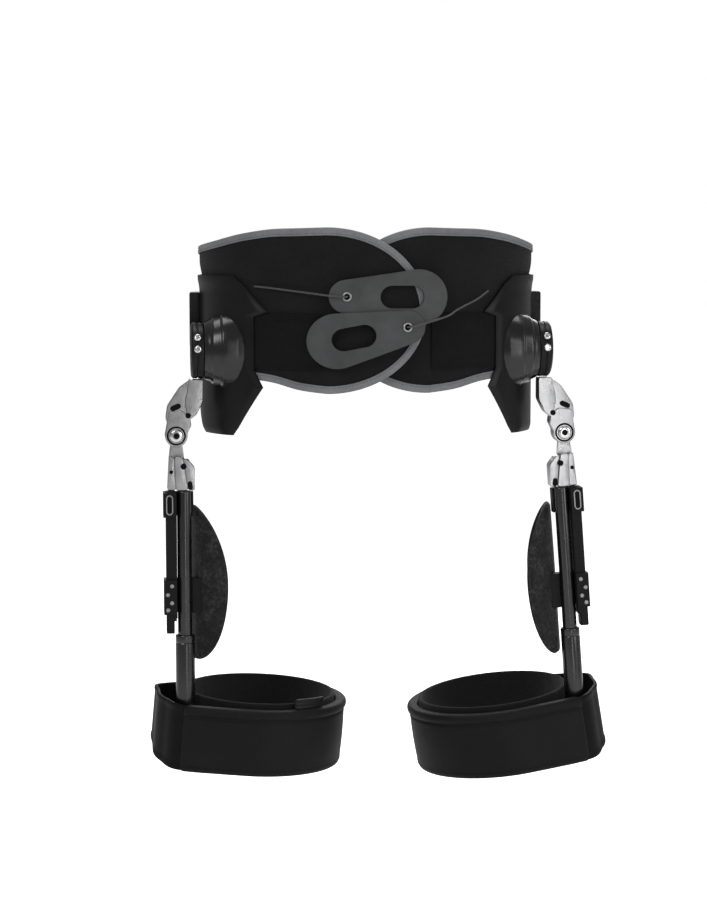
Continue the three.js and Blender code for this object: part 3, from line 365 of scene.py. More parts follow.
def hose(path, radius, sides=12, has_caps=True):
    """A round tube along a path. Its ring lies across the path's direction at each point."""
    path = np.asarray(path, float)
    forward = unit(np.gradient(path, axis=0))
    aside = unit(np.cross(forward, np.array([0.31, 0.17, 0.94])))
    upward = np.cross(aside, forward)
    angle = np.linspace(0, FULL, sides, endpoint=False)
    section = radius * np.stack([np.cos(angle), np.sin(angle)], -1)
    return carried(path, aside, upward, section, has_caps=has_caps)


def stitched(path, normals, pitch, length, radius, lift=0.0):
    """A row of stitches along a path: small round-ended threads, each a bar whose radius swells and whose
    middle stands highest: ring k lies at cos(k) along and sin(k) times the radius round, all at once."""
    total = travelled(path)
    count = max(2, int(total[-1] / pitch))
    at = (np.arange(count) + 0.5) * total[-1] / count
    centre = np.stack([np.interp(at, total, path[:, k]) for k in range(3)], -1)
    ahead = unit(np.stack([np.interp(at + pitch / 2, total, path[:, k]) for k in range(3)], -1) - centre)
    away = unit(np.stack([np.interp(at, total, normals[:, k]) for k in range(3)], -1))
    across = np.cross(ahead, away)
    turn = np.linspace(0, np.pi, 6)
    ring = np.linspace(0, FULL, 6, endpoint=False)
    along = -np.cos(turn) * length / 2
    size = np.maximum(np.sin(turn), 0.25) * radius
    raised = size[:, None] * np.sin(ring) + lift + radius * 0.5 * np.sin(turn)[:, None]
    points = (
        centre[:, None, None]
        + ahead[:, None, None] * along[:, None, None]
        + away[:, None, None] * raised[..., None]
        + across[:, None, None] * (size[:, None] * np.cos(ring))[..., None]
    )
    surface = np.zeros((len(turn), len(ring) + 1, 2))
    one = gridded(points[0], surface, True, has_caps=True)
    size_of_one = len(turn) * len(ring)
    faces = [[k + size_of_one * i for k in face] for i in range(count) for face in one.faces]
    return Shape(points.reshape(-1, 3), faces, np.tile(one.corners, (count, 1)))


# Placing pieces


def sided(points, side, is_thigh=False):
    """Turns thigh points about the abduction pivot's line front to back, then mirrors the wearer's right."""
    points = np.array(points, float)
    if is_thigh:
        turn = -REST_ABDUCTION[side]
        across, height = points[..., 0] - PIVOT[0], points[..., 2] - PIVOT[1]
        points[..., 0] = PIVOT[0] + across * np.cos(turn) + height * np.sin(turn)
        points[..., 2] = PIVOT[1] - across * np.sin(turn) + height * np.cos(turn)
    points[..., 0] *= SIDES[side]
    return points


def mesh_object(name, shape, side=None, is_thigh=False):
    """A mesh object at the origin from a shape, with its doubles merged and its faces pointing out."""
    points = shape.points if side is None else sided(shape.points, side, is_thigh)
    data = bpy.data.meshes.new(name)
    data.from_pydata(points.tolist(), [], shape.faces)
    layer = data.uv_layers.new(name="Surface")
    layer.data.foreach_set("uv", shape.corners.astype(np.float32).ravel())
    made = bpy.data.objects.new(name, data)
    bpy.context.scene.collection.objects.link(made)
    cleaned(made)
    return made


def cleaned(made, distance=1e-6):
    """Merges points that coincide and turns every face outwards."""
    bpy.ops.object.select_all(action="DESELECT")
    made.select_set(True)
    bpy.context.view_layer.objects.active = made
    bpy.ops.object.mode_set(mode="EDIT")
    bpy.ops.mesh.select_all(action="SELECT")
    bpy.ops.mesh.remove_doubles(threshold=distance)
    bpy.ops.mesh.dissolve_degenerate(threshold=distance)
    bpy.ops.mesh.normals_make_consistent(inside=False)
    bpy.ops.object.mode_set(mode="OBJECT")


def placed(made, material, body, node, angle=40, with_replace=True):
    """Gives a finished piece its material, its shading and its body, and hides the CAD node that it stands
    for.
    """
    made.data.materials.clear()
    made.data.materials.append(material)
    made.data.shade_smooth()
    made.data.set_sharp_from_angle(angle=np.radians(angle))
    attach(made, body)
    if with_replace:
        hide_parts(node)
    return made


def from_node(name, node):
    """A merged copy of a CAD node's mesh, to be finished with modifiers."""
    made = bpy.data.objects.new(name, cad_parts[node].data.copy())
    bpy.context.scene.collection.objects.link(made)
    cleaned(made, 1e-5)
    while made.data.uv_layers:
        made.data.uv_layers.remove(made.data.uv_layers[0])
    return made


def bevelled(made, width, segments=3, angle=28):
    """Rounds a piece's sharp edges, steeper than an angle in degrees, with a live modifier."""
    bevel = made.modifiers.new("Edges", "BEVEL")
    bevel.width = width
    bevel.segments = segments
    bevel.limit_method = "ANGLE"
    bevel.angle_limit = np.radians(angle)
    bevel.harden_normals = False
    return made


def applied(made):
    """Bakes a piece's modifiers into its mesh."""
    graph = bpy.context.evaluated_depsgraph_get()
    data = bpy.data.meshes.new_from_object(made.evaluated_get(graph))
    made.modifiers.clear()
    made.data = data
    return made


def with_shape(made, shape, side=None, is_thigh=False):
    """Adds loose details of a shape to a finished piece's mesh."""
    extra = mesh_object(made.name + "_extra", shape, side, is_thigh)
    bpy.ops.object.select_all(action="DESELECT")
    extra.select_set(True)
    made.select_set(True)
    bpy.context.view_layer.objects.active = made
    bpy.ops.object.join()
    return made


# Finishes


def new_group(name, inputs, outputs):
    """A shader node group with named sockets: inputs are (kind, name, default), outputs are (kind, name)."""
    group = bpy.data.node_groups.new(name, "ShaderNodeTree")
    for kind, label, default in inputs:
        socket = group.interface.new_socket(label, in_out="INPUT", socket_type="NodeSocket" + kind)
        if default is not None:
            socket.default_value = default
    for kind, label in outputs:
        group.interface.new_socket(label, in_out="OUTPUT", socket_type="NodeSocket" + kind)
    return group, group.nodes.new("NodeGroupInput"), group.nodes.new("NodeGroupOutput")


def math_node(tree, operation, first, second=None, third=None):
    """A Math node: each operand is a socket or a number."""
    node = tree.nodes.new("ShaderNodeMath")
    node.operation = operation
    for k, operand in enumerate((first, second, third)):
        if operand is None:
            continue
        if isinstance(operand, (int, float)):
            node.inputs[k].default_value = operand
        else:
            tree.links.new(operand, node.inputs[k])
    return node.outputs[0]


def noise_node(tree, vector, scale, detail=4.0, roughness=0.55):
    """A noise texture whose scale is a number or another node's output."""
    node = tree.nodes.new("ShaderNodeTexNoise")
    node.inputs["Detail"].default_value = detail
    node.inputs["Roughness"].default_value = roughness
    if isinstance(scale, (int, float)):
        node.inputs["Scale"].default_value = scale
    else:
        tree.links.new(scale, node.inputs["Scale"])
    tree.links.new(vector, node.inputs["Vector"])
    return node.outputs["Fac"]


def weave_group():
    """Weave: threads cross along the surface coordinates. Height is the product of two sines, which lifts one
    thread and then the other, and each thread's own twist is a finer sine laid aslant. Shade is painted shade
    from the same product, lighter on raised threads and darker in the hollows between them, plus a noise of
    random tone."""
    group, given, result = new_group(
        "Woven threads",
        [("Float", "Threads", 900.0), ("Float", "Looseness", 0.25)],
        [("Float", "Height"), ("Float", "Shade")],
    )
    links = group.links
    surface = group.nodes.new("ShaderNodeUVMap")
    surface.uv_map = "Surface"
    wander = noise_node(group, surface.outputs["UV"], 260.0, 2.0)
    split = group.nodes.new("ShaderNodeSeparateXYZ")
    links.new(surface.outputs["UV"], split.inputs[0])
    sway = math_node(group, "MULTIPLY", math_node(group, "SUBTRACT", wander, 0.5), given.outputs["Looseness"])
    turn = math_node(group, "MULTIPLY", given.outputs["Threads"], FULL / 2)
    warp = math_node(group, "SINE", math_node(group, "MULTIPLY_ADD", split.outputs[0], turn, sway))
    weft = math_node(group, "SINE", math_node(group, "MULTIPLY_ADD", split.outputs[1], turn, sway))
    over = math_node(group, "MULTIPLY", warp, weft)
    height = math_node(group, "MULTIPLY_ADD", over, 0.5, 0.5)
    aslant = math_node(group, "MULTIPLY", math_node(group, "ADD", split.outputs[0], split.outputs[1]), turn)
    twist = math_node(group, "SINE", math_node(group, "MULTIPLY", aslant, 3.0))
    links.new(math_node(group, "MULTIPLY_ADD", twist, 0.12, height), result.inputs["Height"])
    # Painted shade: lighter where the threads are raised and darker in their hollows, with random tone from
    # noise added
    links.new(math_node(group, "MULTIPLY_ADD", over, 0.3, wander), result.inputs["Shade"])
    return group


def spacer_group():
    """Spacer mesh: a sheet of small round holes from Voronoi distance, mottled by two sizes of noise."""
    group, given, result = new_group(
        "Spacer mesh",
        [("Float", "Cells", 420.0)],
        [("Float", "Height"), ("Float", "Hole"), ("Float", "Mottle")],
    )
    links = group.links
    place = group.nodes.new("ShaderNodeTexCoord").outputs["Object"]
    cells = group.nodes.new("ShaderNodeTexVoronoi")
    links.new(place, cells.inputs["Vector"])
    links.new(given.outputs["Cells"], cells.inputs["Scale"])
    rim = math_node(group, "SMOOTH_MIN", cells.outputs["Distance"], 0.62, 0.12)
    links.new(rim, result.inputs["Height"])
    links.new(math_node(group, "LESS_THAN", cells.outputs["Distance"], 0.3), result.inputs["Hole"])
    coarse = noise_node(group, place, 75.0, 3.0)
    fine = noise_node(group, place, 260.0, 2.0)
    links.new(math_node(group, "MULTIPLY", coarse, fine), result.inputs["Mottle"])
    return group


def wear_group():
    """Wear: scuffs are thin bands of stretched noise, dust is broad soft noise, both masks from 0 to 1."""
    group, given, result = new_group(
        "Wear and dust",
        [("Float", "Scale", 60.0), ("Float", "Scuffs", 0.4)],
        [("Float", "Scuff"), ("Float", "Dust"), ("Float", "Grain")],
    )
    links = group.links
    place = group.nodes.new("ShaderNodeTexCoord").outputs["Object"]
    stretch = group.nodes.new("ShaderNodeMapping")
    stretch.inputs["Scale"].default_value = (1.0, 1.0, 0.22)
    links.new(place, stretch.inputs["Vector"])
    fine = math_node(group, "MULTIPLY", given.outputs["Scale"], 9.0)
    scratches = noise_node(group, stretch.outputs[0], fine, 2.0)
    band = math_node(group, "ABSOLUTE", math_node(group, "SUBTRACT", scratches, 0.5))
    thin = math_node(group, "SUBTRACT", 1.0, math_node(group, "MULTIPLY", band, 30.0))
    broad = noise_node(group, place, given.outputs["Scale"], 4.0)
    high = math_node(group, "GREATER_THAN", broad, 0.56)
    patch = math_node(group, "MULTIPLY", math_node(group, "MAXIMUM", thin, 0.0), high)
    links.new(math_node(group, "MULTIPLY", patch, given.outputs["Scuffs"]), result.inputs["Scuff"])
    links.new(broad, result.inputs["Dust"])
    links.new(noise_node(group, place, 1900.0, 2.0), result.inputs["Grain"])
    return group


def brushed_group():
    """Brushed metal: noise drawn out along one direction by a Mapping node, for roughness and fine height."""
    group, given, result = new_group(
        "Brushed metal",
        [("Vector", "Stretch", (1.0, 1.0, 14.0))],
        [("Float", "Height"), ("Float", "Cloud")],
    )
    links = group.links
    place = group.nodes.new("ShaderNodeTexCoord").outputs["Object"]
    stretch = group.nodes.new("ShaderNodeMapping")
    links.new(place, stretch.inputs["Vector"])
    links.new(given.outputs["Stretch"], stretch.inputs["Scale"])
    links.new(noise_node(group, stretch.outputs[0], 420.0, 3.0), result.inputs["Height"])
    links.new(noise_node(group, place, 90.0, 3.0), result.inputs["Cloud"])
    return group


GROUPS = {}


def group_node(tree, name, **values):
    """Places a shared group in a material, with its own values on the group's sockets."""
    makers = {"weave": weave_group, "spacer": spacer_group, "wear": wear_group, "brushed": brushed_group}
    if name not in GROUPS:
        GROUPS[name] = makers[name]()
    node = tree.nodes.new("ShaderNodeGroup")
    node.node_tree = GROUPS[name]
    for label, value in values.items():
        node.inputs[label.capitalize()].default_value = value
    return node.outputs


def ramp(tree, factor, stops):
    """A colour ramp from (position, grey or colour) stops."""
    node = tree.nodes.new("ShaderNodeValToRGB")
    tree.links.new(factor, node.inputs[0])
    elements = node.color_ramp.elements
    for k, (position, colour) in enumerate(stops):
        element = elements[k] if k < 2 else elements.new(position)
        element.position = position
        element.color = (*colour, 1.0)
    return node.outputs[0]


def shaded(colour, amount):
    """A colour multiplied by an amount, held at white."""
    return tuple(min(1.0, part * amount) for part in colour)


def blank_material(name, roughness, metallic=0.0, coat=0.0, sheen=0.0, specular=0.5):
    """A new material with the plain values set on its shader's own sockets."""
    material = bpy.data.materials.new(name)
    material.use_nodes = True
    tree = material.node_tree
    shader = tree.nodes["Principled BSDF"]
    shader.inputs["Roughness"].default_value = roughness
    shader.inputs["Metallic"].default_value = metallic
    shader.inputs["Coat Weight"].default_value = coat
    shader.inputs["Coat Roughness"].default_value = 0.12
    shader.inputs["Sheen Weight"].default_value = sheen
    shader.inputs["Sheen Roughness"].default_value = 0.45
    shader.inputs["Specular IOR Level"].default_value = specular
    return material, tree, shader


def bumped(tree, shader, height, distance, strength=1.0):
    """Feeds a height through a bump node into a shader's normal."""
    bump = tree.nodes.new("ShaderNodeBump")
    bump.inputs["Distance"].default_value = distance
    bump.inputs["Strength"].default_value = strength
    tree.links.new(height, bump.inputs["Height"])
    tree.links.new(bump.outputs[0], shader.inputs["Normal"])


def cloth_material(name, colour, threads, depth, sheen, contrast=0.35, roughness=0.88):
    """Woven cloth: the weave's painted shade darkens the colour in the hollows between threads, wear lightens
    it in patches, and the weave is its relief.
    """
    material, tree, shader = blank_material(name, roughness, sheen=sheen, specular=0.12)
    weave = group_node(tree, "weave", threads=threads)
    wear = group_node(tree, "wear", scale=28.0, scuffs=0.0)
    # Painted shade from the weave: the colour is darker in the hollows between threads and lighter on raised
    # ones
    shade = math_node(tree, "MULTIPLY", weave["Shade"], 0.5)
    tone = math_node(tree, "MULTIPLY_ADD", wear["Dust"], 0.7, shade)
    stops = [(0.25, shaded(colour, 1 - contrast)), (0.85, shaded(colour, 1 + contrast))]
    tree.links.new(ramp(tree, tone, stops), shader.inputs["Base Color"])
    rough = math_node(tree, "MULTIPLY_ADD", wear["Dust"], -0.12, roughness + 0.06)
    tree.links.new(rough, shader.inputs["Roughness"])
    bumped(tree, shader, weave["Height"], depth)
    return material


def moulded_material(name, colour, roughness, grain, contrast=0.2, coat=0.0, metallic=0.0, specular=0.5):
    """Moulded plastic or coated metal: a fine grain, slow changes of tone and faint scuffs."""
    material, tree, shader = blank_material(name, roughness, metallic, coat, specular=specular)
    wear = group_node(tree, "wear", scale=34.0, scuffs=0.05)
    tone = math_node(tree, "ADD", wear["Dust"], wear["Scuff"])
    dark, light, worn = (shaded(colour, share) for share in (1 - contrast, 1 + contrast, 2.2))
    stops = [(0.3, dark), (0.75, light), (1.0, worn)]
    tree.links.new(ramp(tree, tone, stops), shader.inputs["Base Color"])
    rough = math_node(tree, "MULTIPLY_ADD", wear["Dust"], 0.22, roughness - 0.1)
    tree.links.new(math_node(tree, "MULTIPLY_ADD", wear["Scuff"], 0.25, rough), shader.inputs["Roughness"])
    bumped(tree, shader, wear["Grain"], grain)
    return material


def metal_material(name, colour, roughness, stretch, depth=0.00002):
    """Bright metal: brushed along one direction, with slow clouding and faint scuffs."""
    material, tree, shader = blank_material(name, roughness, metallic=1.0)
    brushed = group_node(tree, "brushed", stretch=stretch)
    wear = group_node(tree, "wear", scale=60.0, scuffs=0.08)
    stops = [(0.3, shaded(colour, 0.82)), (0.7, colour)]
    tree.links.new(ramp(tree, brushed["Cloud"], stops), shader.inputs["Base Color"])
    rough = math_node(tree, "MULTIPLY_ADD", brushed["Cloud"], 0.16, roughness - 0.06)
    tree.links.new(math_node(tree, "MULTIPLY_ADD", wear["Scuff"], 0.3, rough), shader.inputs["Roughness"])
    bumped(tree, shader, brushed["Height"], depth)
    return material


def spacer_material(name, colour):
    """Spacer mesh over foam: holes painted dark as the shade inside them, between light threads, mottled."""
    material, tree, shader = blank_material(name, 0.75, sheen=0.08, specular=0.2)
    mesh = group_node(tree, "spacer")
    stops = [(0.14, shaded(colour, 0.35)), (0.27, shaded(colour, 1.0)), (0.38, shaded(colour, 2.4))]
    light = ramp(tree, mesh["Mottle"], stops)
    # Painted shade: the holes' colour is darkened to stand for the shade inside them
    mixed = tree.nodes.new("ShaderNodeMix")
    mixed.data_type = "RGBA"
    tree.links.new(math_node(tree, "MULTIPLY", mesh["Hole"], 0.85), mixed.inputs["Factor"])
    tree.links.new(light, mixed.inputs["A"])
    mixed.inputs["B"].default_value = (*shaded(colour, 0.15), 1.0)
    tree.links.new(mixed.outputs["Result"], shader.inputs["Base Color"])
    bumped(tree, shader, mesh["Height"], 0.0007)
    return material


def cord_material(name, colour):
    """Braided cord: two crossing spirals along the surface coordinates, with painted shade darkening the
    colour in the hollows between them.
    """
    material, tree, shader = blank_material(name, 0.6, sheen=0.2)
    weave = group_node(tree, "weave", threads=1400.0, looseness=0.1)
    stops = [(0.2, shaded(colour, 0.6)), (0.9, shaded(colour, 1.5))]
    # Painted shade: the colour ramp follows the braid's relief, darker in its hollows
    tree.links.new(ramp(tree, weave["Shade"], stops), shader.inputs["Base Color"])
    bumped(tree, shader, weave["Height"], 0.00025)
    return material


def finishes(sizes):
    """Every finish by the name of its material slot."""
    return {
        "belt_cloth": cloth_material("Belt cloth", sizes.cloth_colour, 1100.0, 0.00022, 0.06),
        "edge_trim": cloth_material("Edge trim", sizes.trim_colour, 1500.0, 0.0002, 0.1, 0.25, 0.75),
        "strap_web": cloth_material("Strap web", sizes.strap_colour, 700.0, 0.0003, 0.02),
        "tab_plastic": moulded_material("Tab plastic", sizes.tab_colour, 0.55, 0.00006, 0.3, specular=0.3),
        "small_steel": metal_material("Small steel", sizes.steel_colour, 0.2, (1.0, 1.0, 1.0)),
        "dull_ring": metal_material("Dull ring", shaded(sizes.steel_colour, 0.45), 0.42, (1.0, 1.0, 1.0)),
        "pull_cord": cord_material("Pull cord", sizes.cord_colour),
        "moulded_black": moulded_material("Moulded black", sizes.moulded_colour, 0.36, 0.00005, specular=0.16),
        "dome": moulded_material("Glossy dome", sizes.moulded_colour, 0.22, 0.00002, specular=0.45),
        "link_steel": metal_material("Link steel", shaded(sizes.steel_colour, 0.62), 0.27, (1.0, 1.0, 14.0)),
        "black_tube": moulded_material("Black tube", sizes.moulded_colour, 0.26, 0.00001, 0.15, 0.4, 0.3),
        "black_bar": moulded_material("Black bar", sizes.moulded_colour, 0.5, 0.00003, specular=0.12),
        "dark_screw": moulded_material("Dark screw", sizes.moulded_colour, 0.6, 0.00003, specular=0.04),
        "pad_mesh": spacer_material("Pad mesh", sizes.pad_colour),
        "cuff_shell": moulded_material("Cuff shell", sizes.moulded_colour, 0.55, 0.00005, specular=0.07),
        "cuff_cloth": cloth_material("Cuff cloth", sizes.cuff_colour, 1300.0, 0.00012, 0.02, 0.25, 0.6),
        "liner_cloth": cloth_material("Liner cloth", sizes.cloth_colour, 900.0, 0.0003, 0.08),
        "stitch": cloth_material("Stitch thread", sizes.stitch_colour, 3000.0, 0.00005, 0.2),
        "dark_stitch": cloth_material("Dark stitch thread", sizes.cuff_colour, 3000.0, 0.00005, 0.05),
    }


FINISHES = {}


def finish_of(slot):
    """The material of a slot, made on first use."""
    if not FINISHES:
        FINISHES.update(finishes(bpy.context.scene.hip_orthosis))
    return FINISHES[slot]


# Belt


def on_waist(angle, height, out):
    """Points on the waist: an ellipse at the angle from the front, flared near the top, plus out along its
    outward normal."""
    angle, height, out = np.broadcast_arrays(angle, height, out)
    flare = WAIST_FLARE * np.sin(angle) ** 2 * smooth((height - FLARE_START) / FLARE_HEIGHT)
    width, depth = WAIST_HALF_WIDTH + flare, WAIST_HALF_DEPTH + flare
    away = unit(np.stack([np.sin(angle) / width, -np.cos(angle) / depth], -1))
    across = width * np.sin(angle) + out * away[..., 0]
    ahead = -depth * np.cos(angle) + out * away[..., 1]
    return np.stack([across, ahead, height], -1)


def waist_out(angle):
    """Outward normals of the waist's ellipse: its gradient, made unit length."""
    across, forward = np.sin(angle) / WAIST_HALF_WIDTH, -np.cos(angle) / WAIST_HALF_DEPTH
    return unit(np.stack([across, forward, 0 * angle], -1))


def angle_across(across):
    """The waist angle of a distance across: the arcsine of its share of the half width."""
    return np.arcsin(np.asarray(across) / WAIST_HALF_WIDTH)


def lap(angle, is_upper):
    """How far a panel is lifted off the waist: the upper panel climbs over the lower one."""
    return is_upper * LAP_OFFSET * smooth((LAP_START - angle) / LAP_RUN)


def panel_rows(is_upper):
    """Angle, lift, bottom and top of a panel's rows from its back end to its tongue's tip: a table along
    the straight stretch, then half an ellipse."""
    turn = np.linspace(1, 0, 50)
    start = angle_across(TONGUE_CENTRE)
    angle = start + (PANEL_BACK - start) * turn
    top = BELT_MIDDLE + TONGUE_RADIUS * through(PANEL_EDGE["turn"], PANEL_EDGE["top"], turn)
    bottom = BELT_MIDDLE - TONGUE_RADIUS * through(PANEL_EDGE["turn"], PANEL_EDGE["bottom"], turn)
    curl = np.radians(np.linspace(0, 88.5, 31))[1:]
    tip = angle_across(TONGUE_CENTRE - TONGUE_REACH * np.sin(curl))
    half = TONGUE_RADIUS * np.cos(curl)
    angle = np.concatenate([angle, tip])
    bottom, top = np.concatenate([bottom, BELT_MIDDLE - half]), np.concatenate([top, BELT_MIDDLE + half])
    return angle, lap(angle, is_upper), bottom, top


def wall_on_waist(angle, lift, bottom, top, half, radius, side_steps=24, crown=0.0):
    """A wall on the waist: a rounded section carried along the rows, each point put on the waist by its
    height and its distance outwards. The crown swells the faces between the edges by a square law."""
    section = rounded_section(half, bottom, top, radius, side_steps)
    out, height = section[..., 0], section[..., 1]
    share = (height - bottom[:, None]) / (top - bottom)[:, None]
    swell = crown * np.sign(out) * (1 - (2 * share - 1) ** 2)
    points = on_waist(angle[:, None], height, lift[:, None] + out + swell)
    along = travelled(on_waist(angle, BELT_MIDDLE, lift))
    profile = travelled(np.concatenate([section[0], section[0, :1]]))
    surface = np.stack(np.meshgrid(along, profile, indexing="ij"), -1)
    return gridded(points, surface, True, has_caps=True)


def quilted(shape, angle_of, depth, pitch):
    """Presses upright channels into a pad: points move inwards by a narrow bell at each step of the pitch."""
    angle = angle_of(shape.points)
    phase = np.abs((angle / pitch + 0.5) % 1 - 0.5) * pitch
    inward = depth * np.exp(-((phase / 0.018) ** 2))
    away = waist_out(angle)
    middle = on_waist(angle, shape.points[:, 2], 0.0)
    sign = np.sign(np.sum((shape.points - middle) * away, -1))
    shape.points = shape.points - away * (sign * inward)[:, None]
    return shape


def binding_path(is_upper):
    """Angle, height and lift along a panel's edge: back end, top, round the tongue, and back underneath."""
    turn = np.linspace(1, 0, 60)[:-1]
    start = angle_across(TONGUE_CENTRE)
    side = start + (PANEL_BACK - start) * turn
    top = BELT_MIDDLE + TONGUE_RADIUS * through(PANEL_EDGE["turn"], PANEL_EDGE["top"], turn)
    bottom = BELT_MIDDLE - TONGUE_RADIUS * through(PANEL_EDGE["turn"], PANEL_EDGE["bottom"], turn)
    curl = np.linspace(0, np.pi, 70)
    tip = angle_across(TONGUE_CENTRE - TONGUE_REACH * np.sin(curl))
    angle = np.concatenate([side, tip, side[::-1]])
    height = np.concatenate([top, BELT_MIDDLE + TONGUE_RADIUS * np.cos(curl), bottom[::-1]])
    return angle, height, lap(angle, is_upper)


def edge_binding(is_upper):
    """Edge tape folded over the panel's edge: a U whose outside is a half circle between two flat legs."""
    angle, height, lift = binding_path(is_upper)
    centre = on_waist(angle, height, lift)
    normal = waist_out(angle)
    away = unit(np.cross(unit(np.gradient(centre, axis=0)), normal))
    fold = np.linspace(0, np.pi, 9)
    outer, inner = BINDING_OUT, PANEL_OUT + 0.0001
    leg = 0.006
    waist_in = np.linspace(-leg, 0, 5)[:, None] * [0, 1]
    section = np.concatenate(
        [
            waist_in + [outer, 0],
            np.stack([outer * np.cos(fold), 0.0012 * np.sin(fold)], -1)[1:-1],
            waist_in[::-1] + [-outer, 0],
            [[-outer + 0.0004, -leg - 0.0003], [-inner, -leg]],
            [[-inner, -0.0006], [-inner + 0.0006, 0.0], [inner - 0.0006, 0.0], [inner, -0.0006]],
            [[inner, -leg], [outer - 0.0004, -leg - 0.0003]],
        ]
    )
    tape = carried(centre, normal, away, section)
    seam = centre + normal * outer - away * (leg - 0.0016)
    return tape, seam, normal


def front_strap(is_upper, end_across):
    """Webbing from under the hip plate to the front: a thin rounded section whose edges are rolled seams."""
    start, end = np.radians(54), angle_across(end_across)
    angle = np.linspace(start, end, 40)
    lift = lap(angle, is_upper) + (STRAP_IN + STRAP_OUT) / 2
    low, high = (np.full(40, height) for height in STRAP_HEIGHTS)
    web = wall_on_waist(angle, lift, low, high, (STRAP_OUT - STRAP_IN) / 2, 0.0006, 28)
    seams = []
    for height in (low[0] + 0.003, high[0] - 0.003, high[0] - 0.006):
        path = on_waist(angle, height, lift + (STRAP_OUT - STRAP_IN) / 2)
        normal = waist_out(np.linspace(start, end, 160))
        seams.append(stitched(evenly(path, 160), normal, 0.0028, 0.0022, 0.00022))
    return joined([web, *seams])


def wrap_outline(wide, narrow, radii, count):
    """Outline round two circles as (along, half width): an arc, a straight tangent and an arc, divided
    evenly, from the wide end's pole to the narrow end's pole."""
    length = np.hypot(narrow[0] - wide[0], narrow[1] - wide[1])
    tangent = np.pi / 2 - np.arcsin((radii[0] - radii[1]) / length)
    first = np.linspace(np.pi, tangent, count)
    last = np.linspace(tangent, 0, count)
    along = np.concatenate([radii[0] * np.cos(first), length + radii[1] * np.cos(last)])
    half = np.concatenate([radii[0] * np.sin(first), radii[1] * np.sin(last)])
    return along, half, length


def ring_patch(hole, rim, rings):
    """A flat patch between a hole's outline and a rim with as many points: straight blends between them."""
    share = np.linspace(0, 1, rings)[:, None, None]
    points = hole[None] * (1 - share) + rim[None] * share
    flat = np.concatenate([points, np.zeros((*points.shape[:2], 1))], -1)
    closed = np.concatenate([points, points[:, :1]], 1)
    return gridded(flat, closed, True)


def tab_sheet(place):
    """The tab's face as a flat sheet with its finger slot and cord hole: it is cut in two across its middle,
    and each half is a patch between its hole and its rim. Points are along and across the tab's line."""
    wide, narrow = np.array(place["wide"]), np.array(place["narrow"])
    along, half, length = wrap_outline(wide, narrow, TAB_RADII, 40)
    cut = length * 0.62
    edge = np.interp(cut, along, half)
    quarter = 36
    cross = np.linspace(-1, 1, quarter + 1)[:, None] * [0, edge] + [cut, 0]

    def rim_of(keep):
        kept = np.stack([along[keep], half[keep]], -1)
        upper = np.concatenate([[[cut, edge]], kept]) if keep[-1] else np.concatenate([kept, [[cut, edge]]])
        upper = upper[np.argsort(upper[:, 0])]
        return evenly(np.concatenate([upper, np.zeros((len(upper), 1))], -1), quarter * 2 + 1)[:, :2]

    wide_rim = rim_of(along < cut)
    narrow_rim = rim_of(along > cut)
    wide_loop = np.concatenate([cross[:-1], wide_rim[::-1][:-1], (wide_rim * [1, -1])[:-1]])
    narrow_loop = np.concatenate([cross[:-1], narrow_rim[:-1], (narrow_rim * [1, -1])[::-1][:-1]])
    tilt = np.arctan2(narrow[1] - wide[1], narrow[0] - wide[0])
    slot = slot_outline(wide_loop)
    hole_turn = np.arctan2(narrow_loop[:, 1], narrow_loop[:, 0] - length)
    hole = 0.0026 * np.stack([np.cos(hole_turn), np.sin(hole_turn)], -1) + [length, 0]
    return joined([ring_patch(slot, wide_loop, 9), ring_patch(hole, narrow_loop, 9)]), wide, tilt


def slot_outline(loop):
    """The finger slot along the tab's line: the reach of a rounded bar in each rim point's direction."""
    turn = np.arctan2(loop[:, 1], loop[:, 0] - SLOT_SHIFT)
    radius, half = SLOT_RADIUS, SLOT_HALF
    cosine, sine = np.cos(turn), np.sin(turn)
    shift = half * np.abs(cosine)
    round_reach = shift + np.sqrt(np.maximum(radius**2 - (half * sine) ** 2, 0))
    flat_reach = radius / np.maximum(np.abs(sine), 1e-6)
    reach = np.where(flat_reach * np.abs(cosine) < half, flat_reach, round_reach)
    return reach[:, None] * np.stack([cosine, sine], -1) + [SLOT_SHIFT, 0]


def pull_tab(kind):
    """A pull tab bent round the waist: the flat sheet is turned to its slant, put on the waist at its face's
    distance, and thickened inwards with rounded edges."""
    sheet, wide, tilt = tab_sheet(TAB_PLACES[kind])
    along, aside = sheet.points[:, 0], sheet.points[:, 1]
    across = wide[0] + along * np.cos(tilt) - aside * np.sin(tilt)
    up = wide[1] + along * np.sin(tilt) + aside * np.cos(tilt)
    sheet.points = on_waist(angle_across(across), up, TAB_FACES[kind])
    made = mesh_object("tab_" + kind, sheet)
    facing = sum(polygon.normal.y * polygon.area for polygon in made.data.polygons)
    if facing > 0:
        made.data.flip_normals()
    wall = made.modifiers.new("Wall", "SOLIDIFY")
    wall.thickness = TAB_THICKNESS
    wall.offset = -1
    bevelled(made, 0.0011, 4, 50)
    return applied(made)


def eyelet(kind):
    """A rolled ring round the cord hole: half a ring section turned about the tab's own normal."""
    across, up = TAB_PLACES[kind]["narrow"]
    turn = np.linspace(0, FULL, 17)
    radius = 0.0036 + 0.00095 * np.cos(turn)
    along = 0.0003 + 0.0006 + 0.0006 * np.sin(turn)
    ring = turned(along, radius, 40, "y", (0, 0, 0))
    angle = float(angle_across(across))
    normal = waist_out(np.array(angle))
    aside = np.cross(normal, UP)
    flat = ring.points
    centre = on_waist(angle, up, TAB_FACES[kind])
    ring.points = centre + flat[:, 1:2] * normal + flat[:, :1] * aside + flat[:, 2:] * UP
    return ring


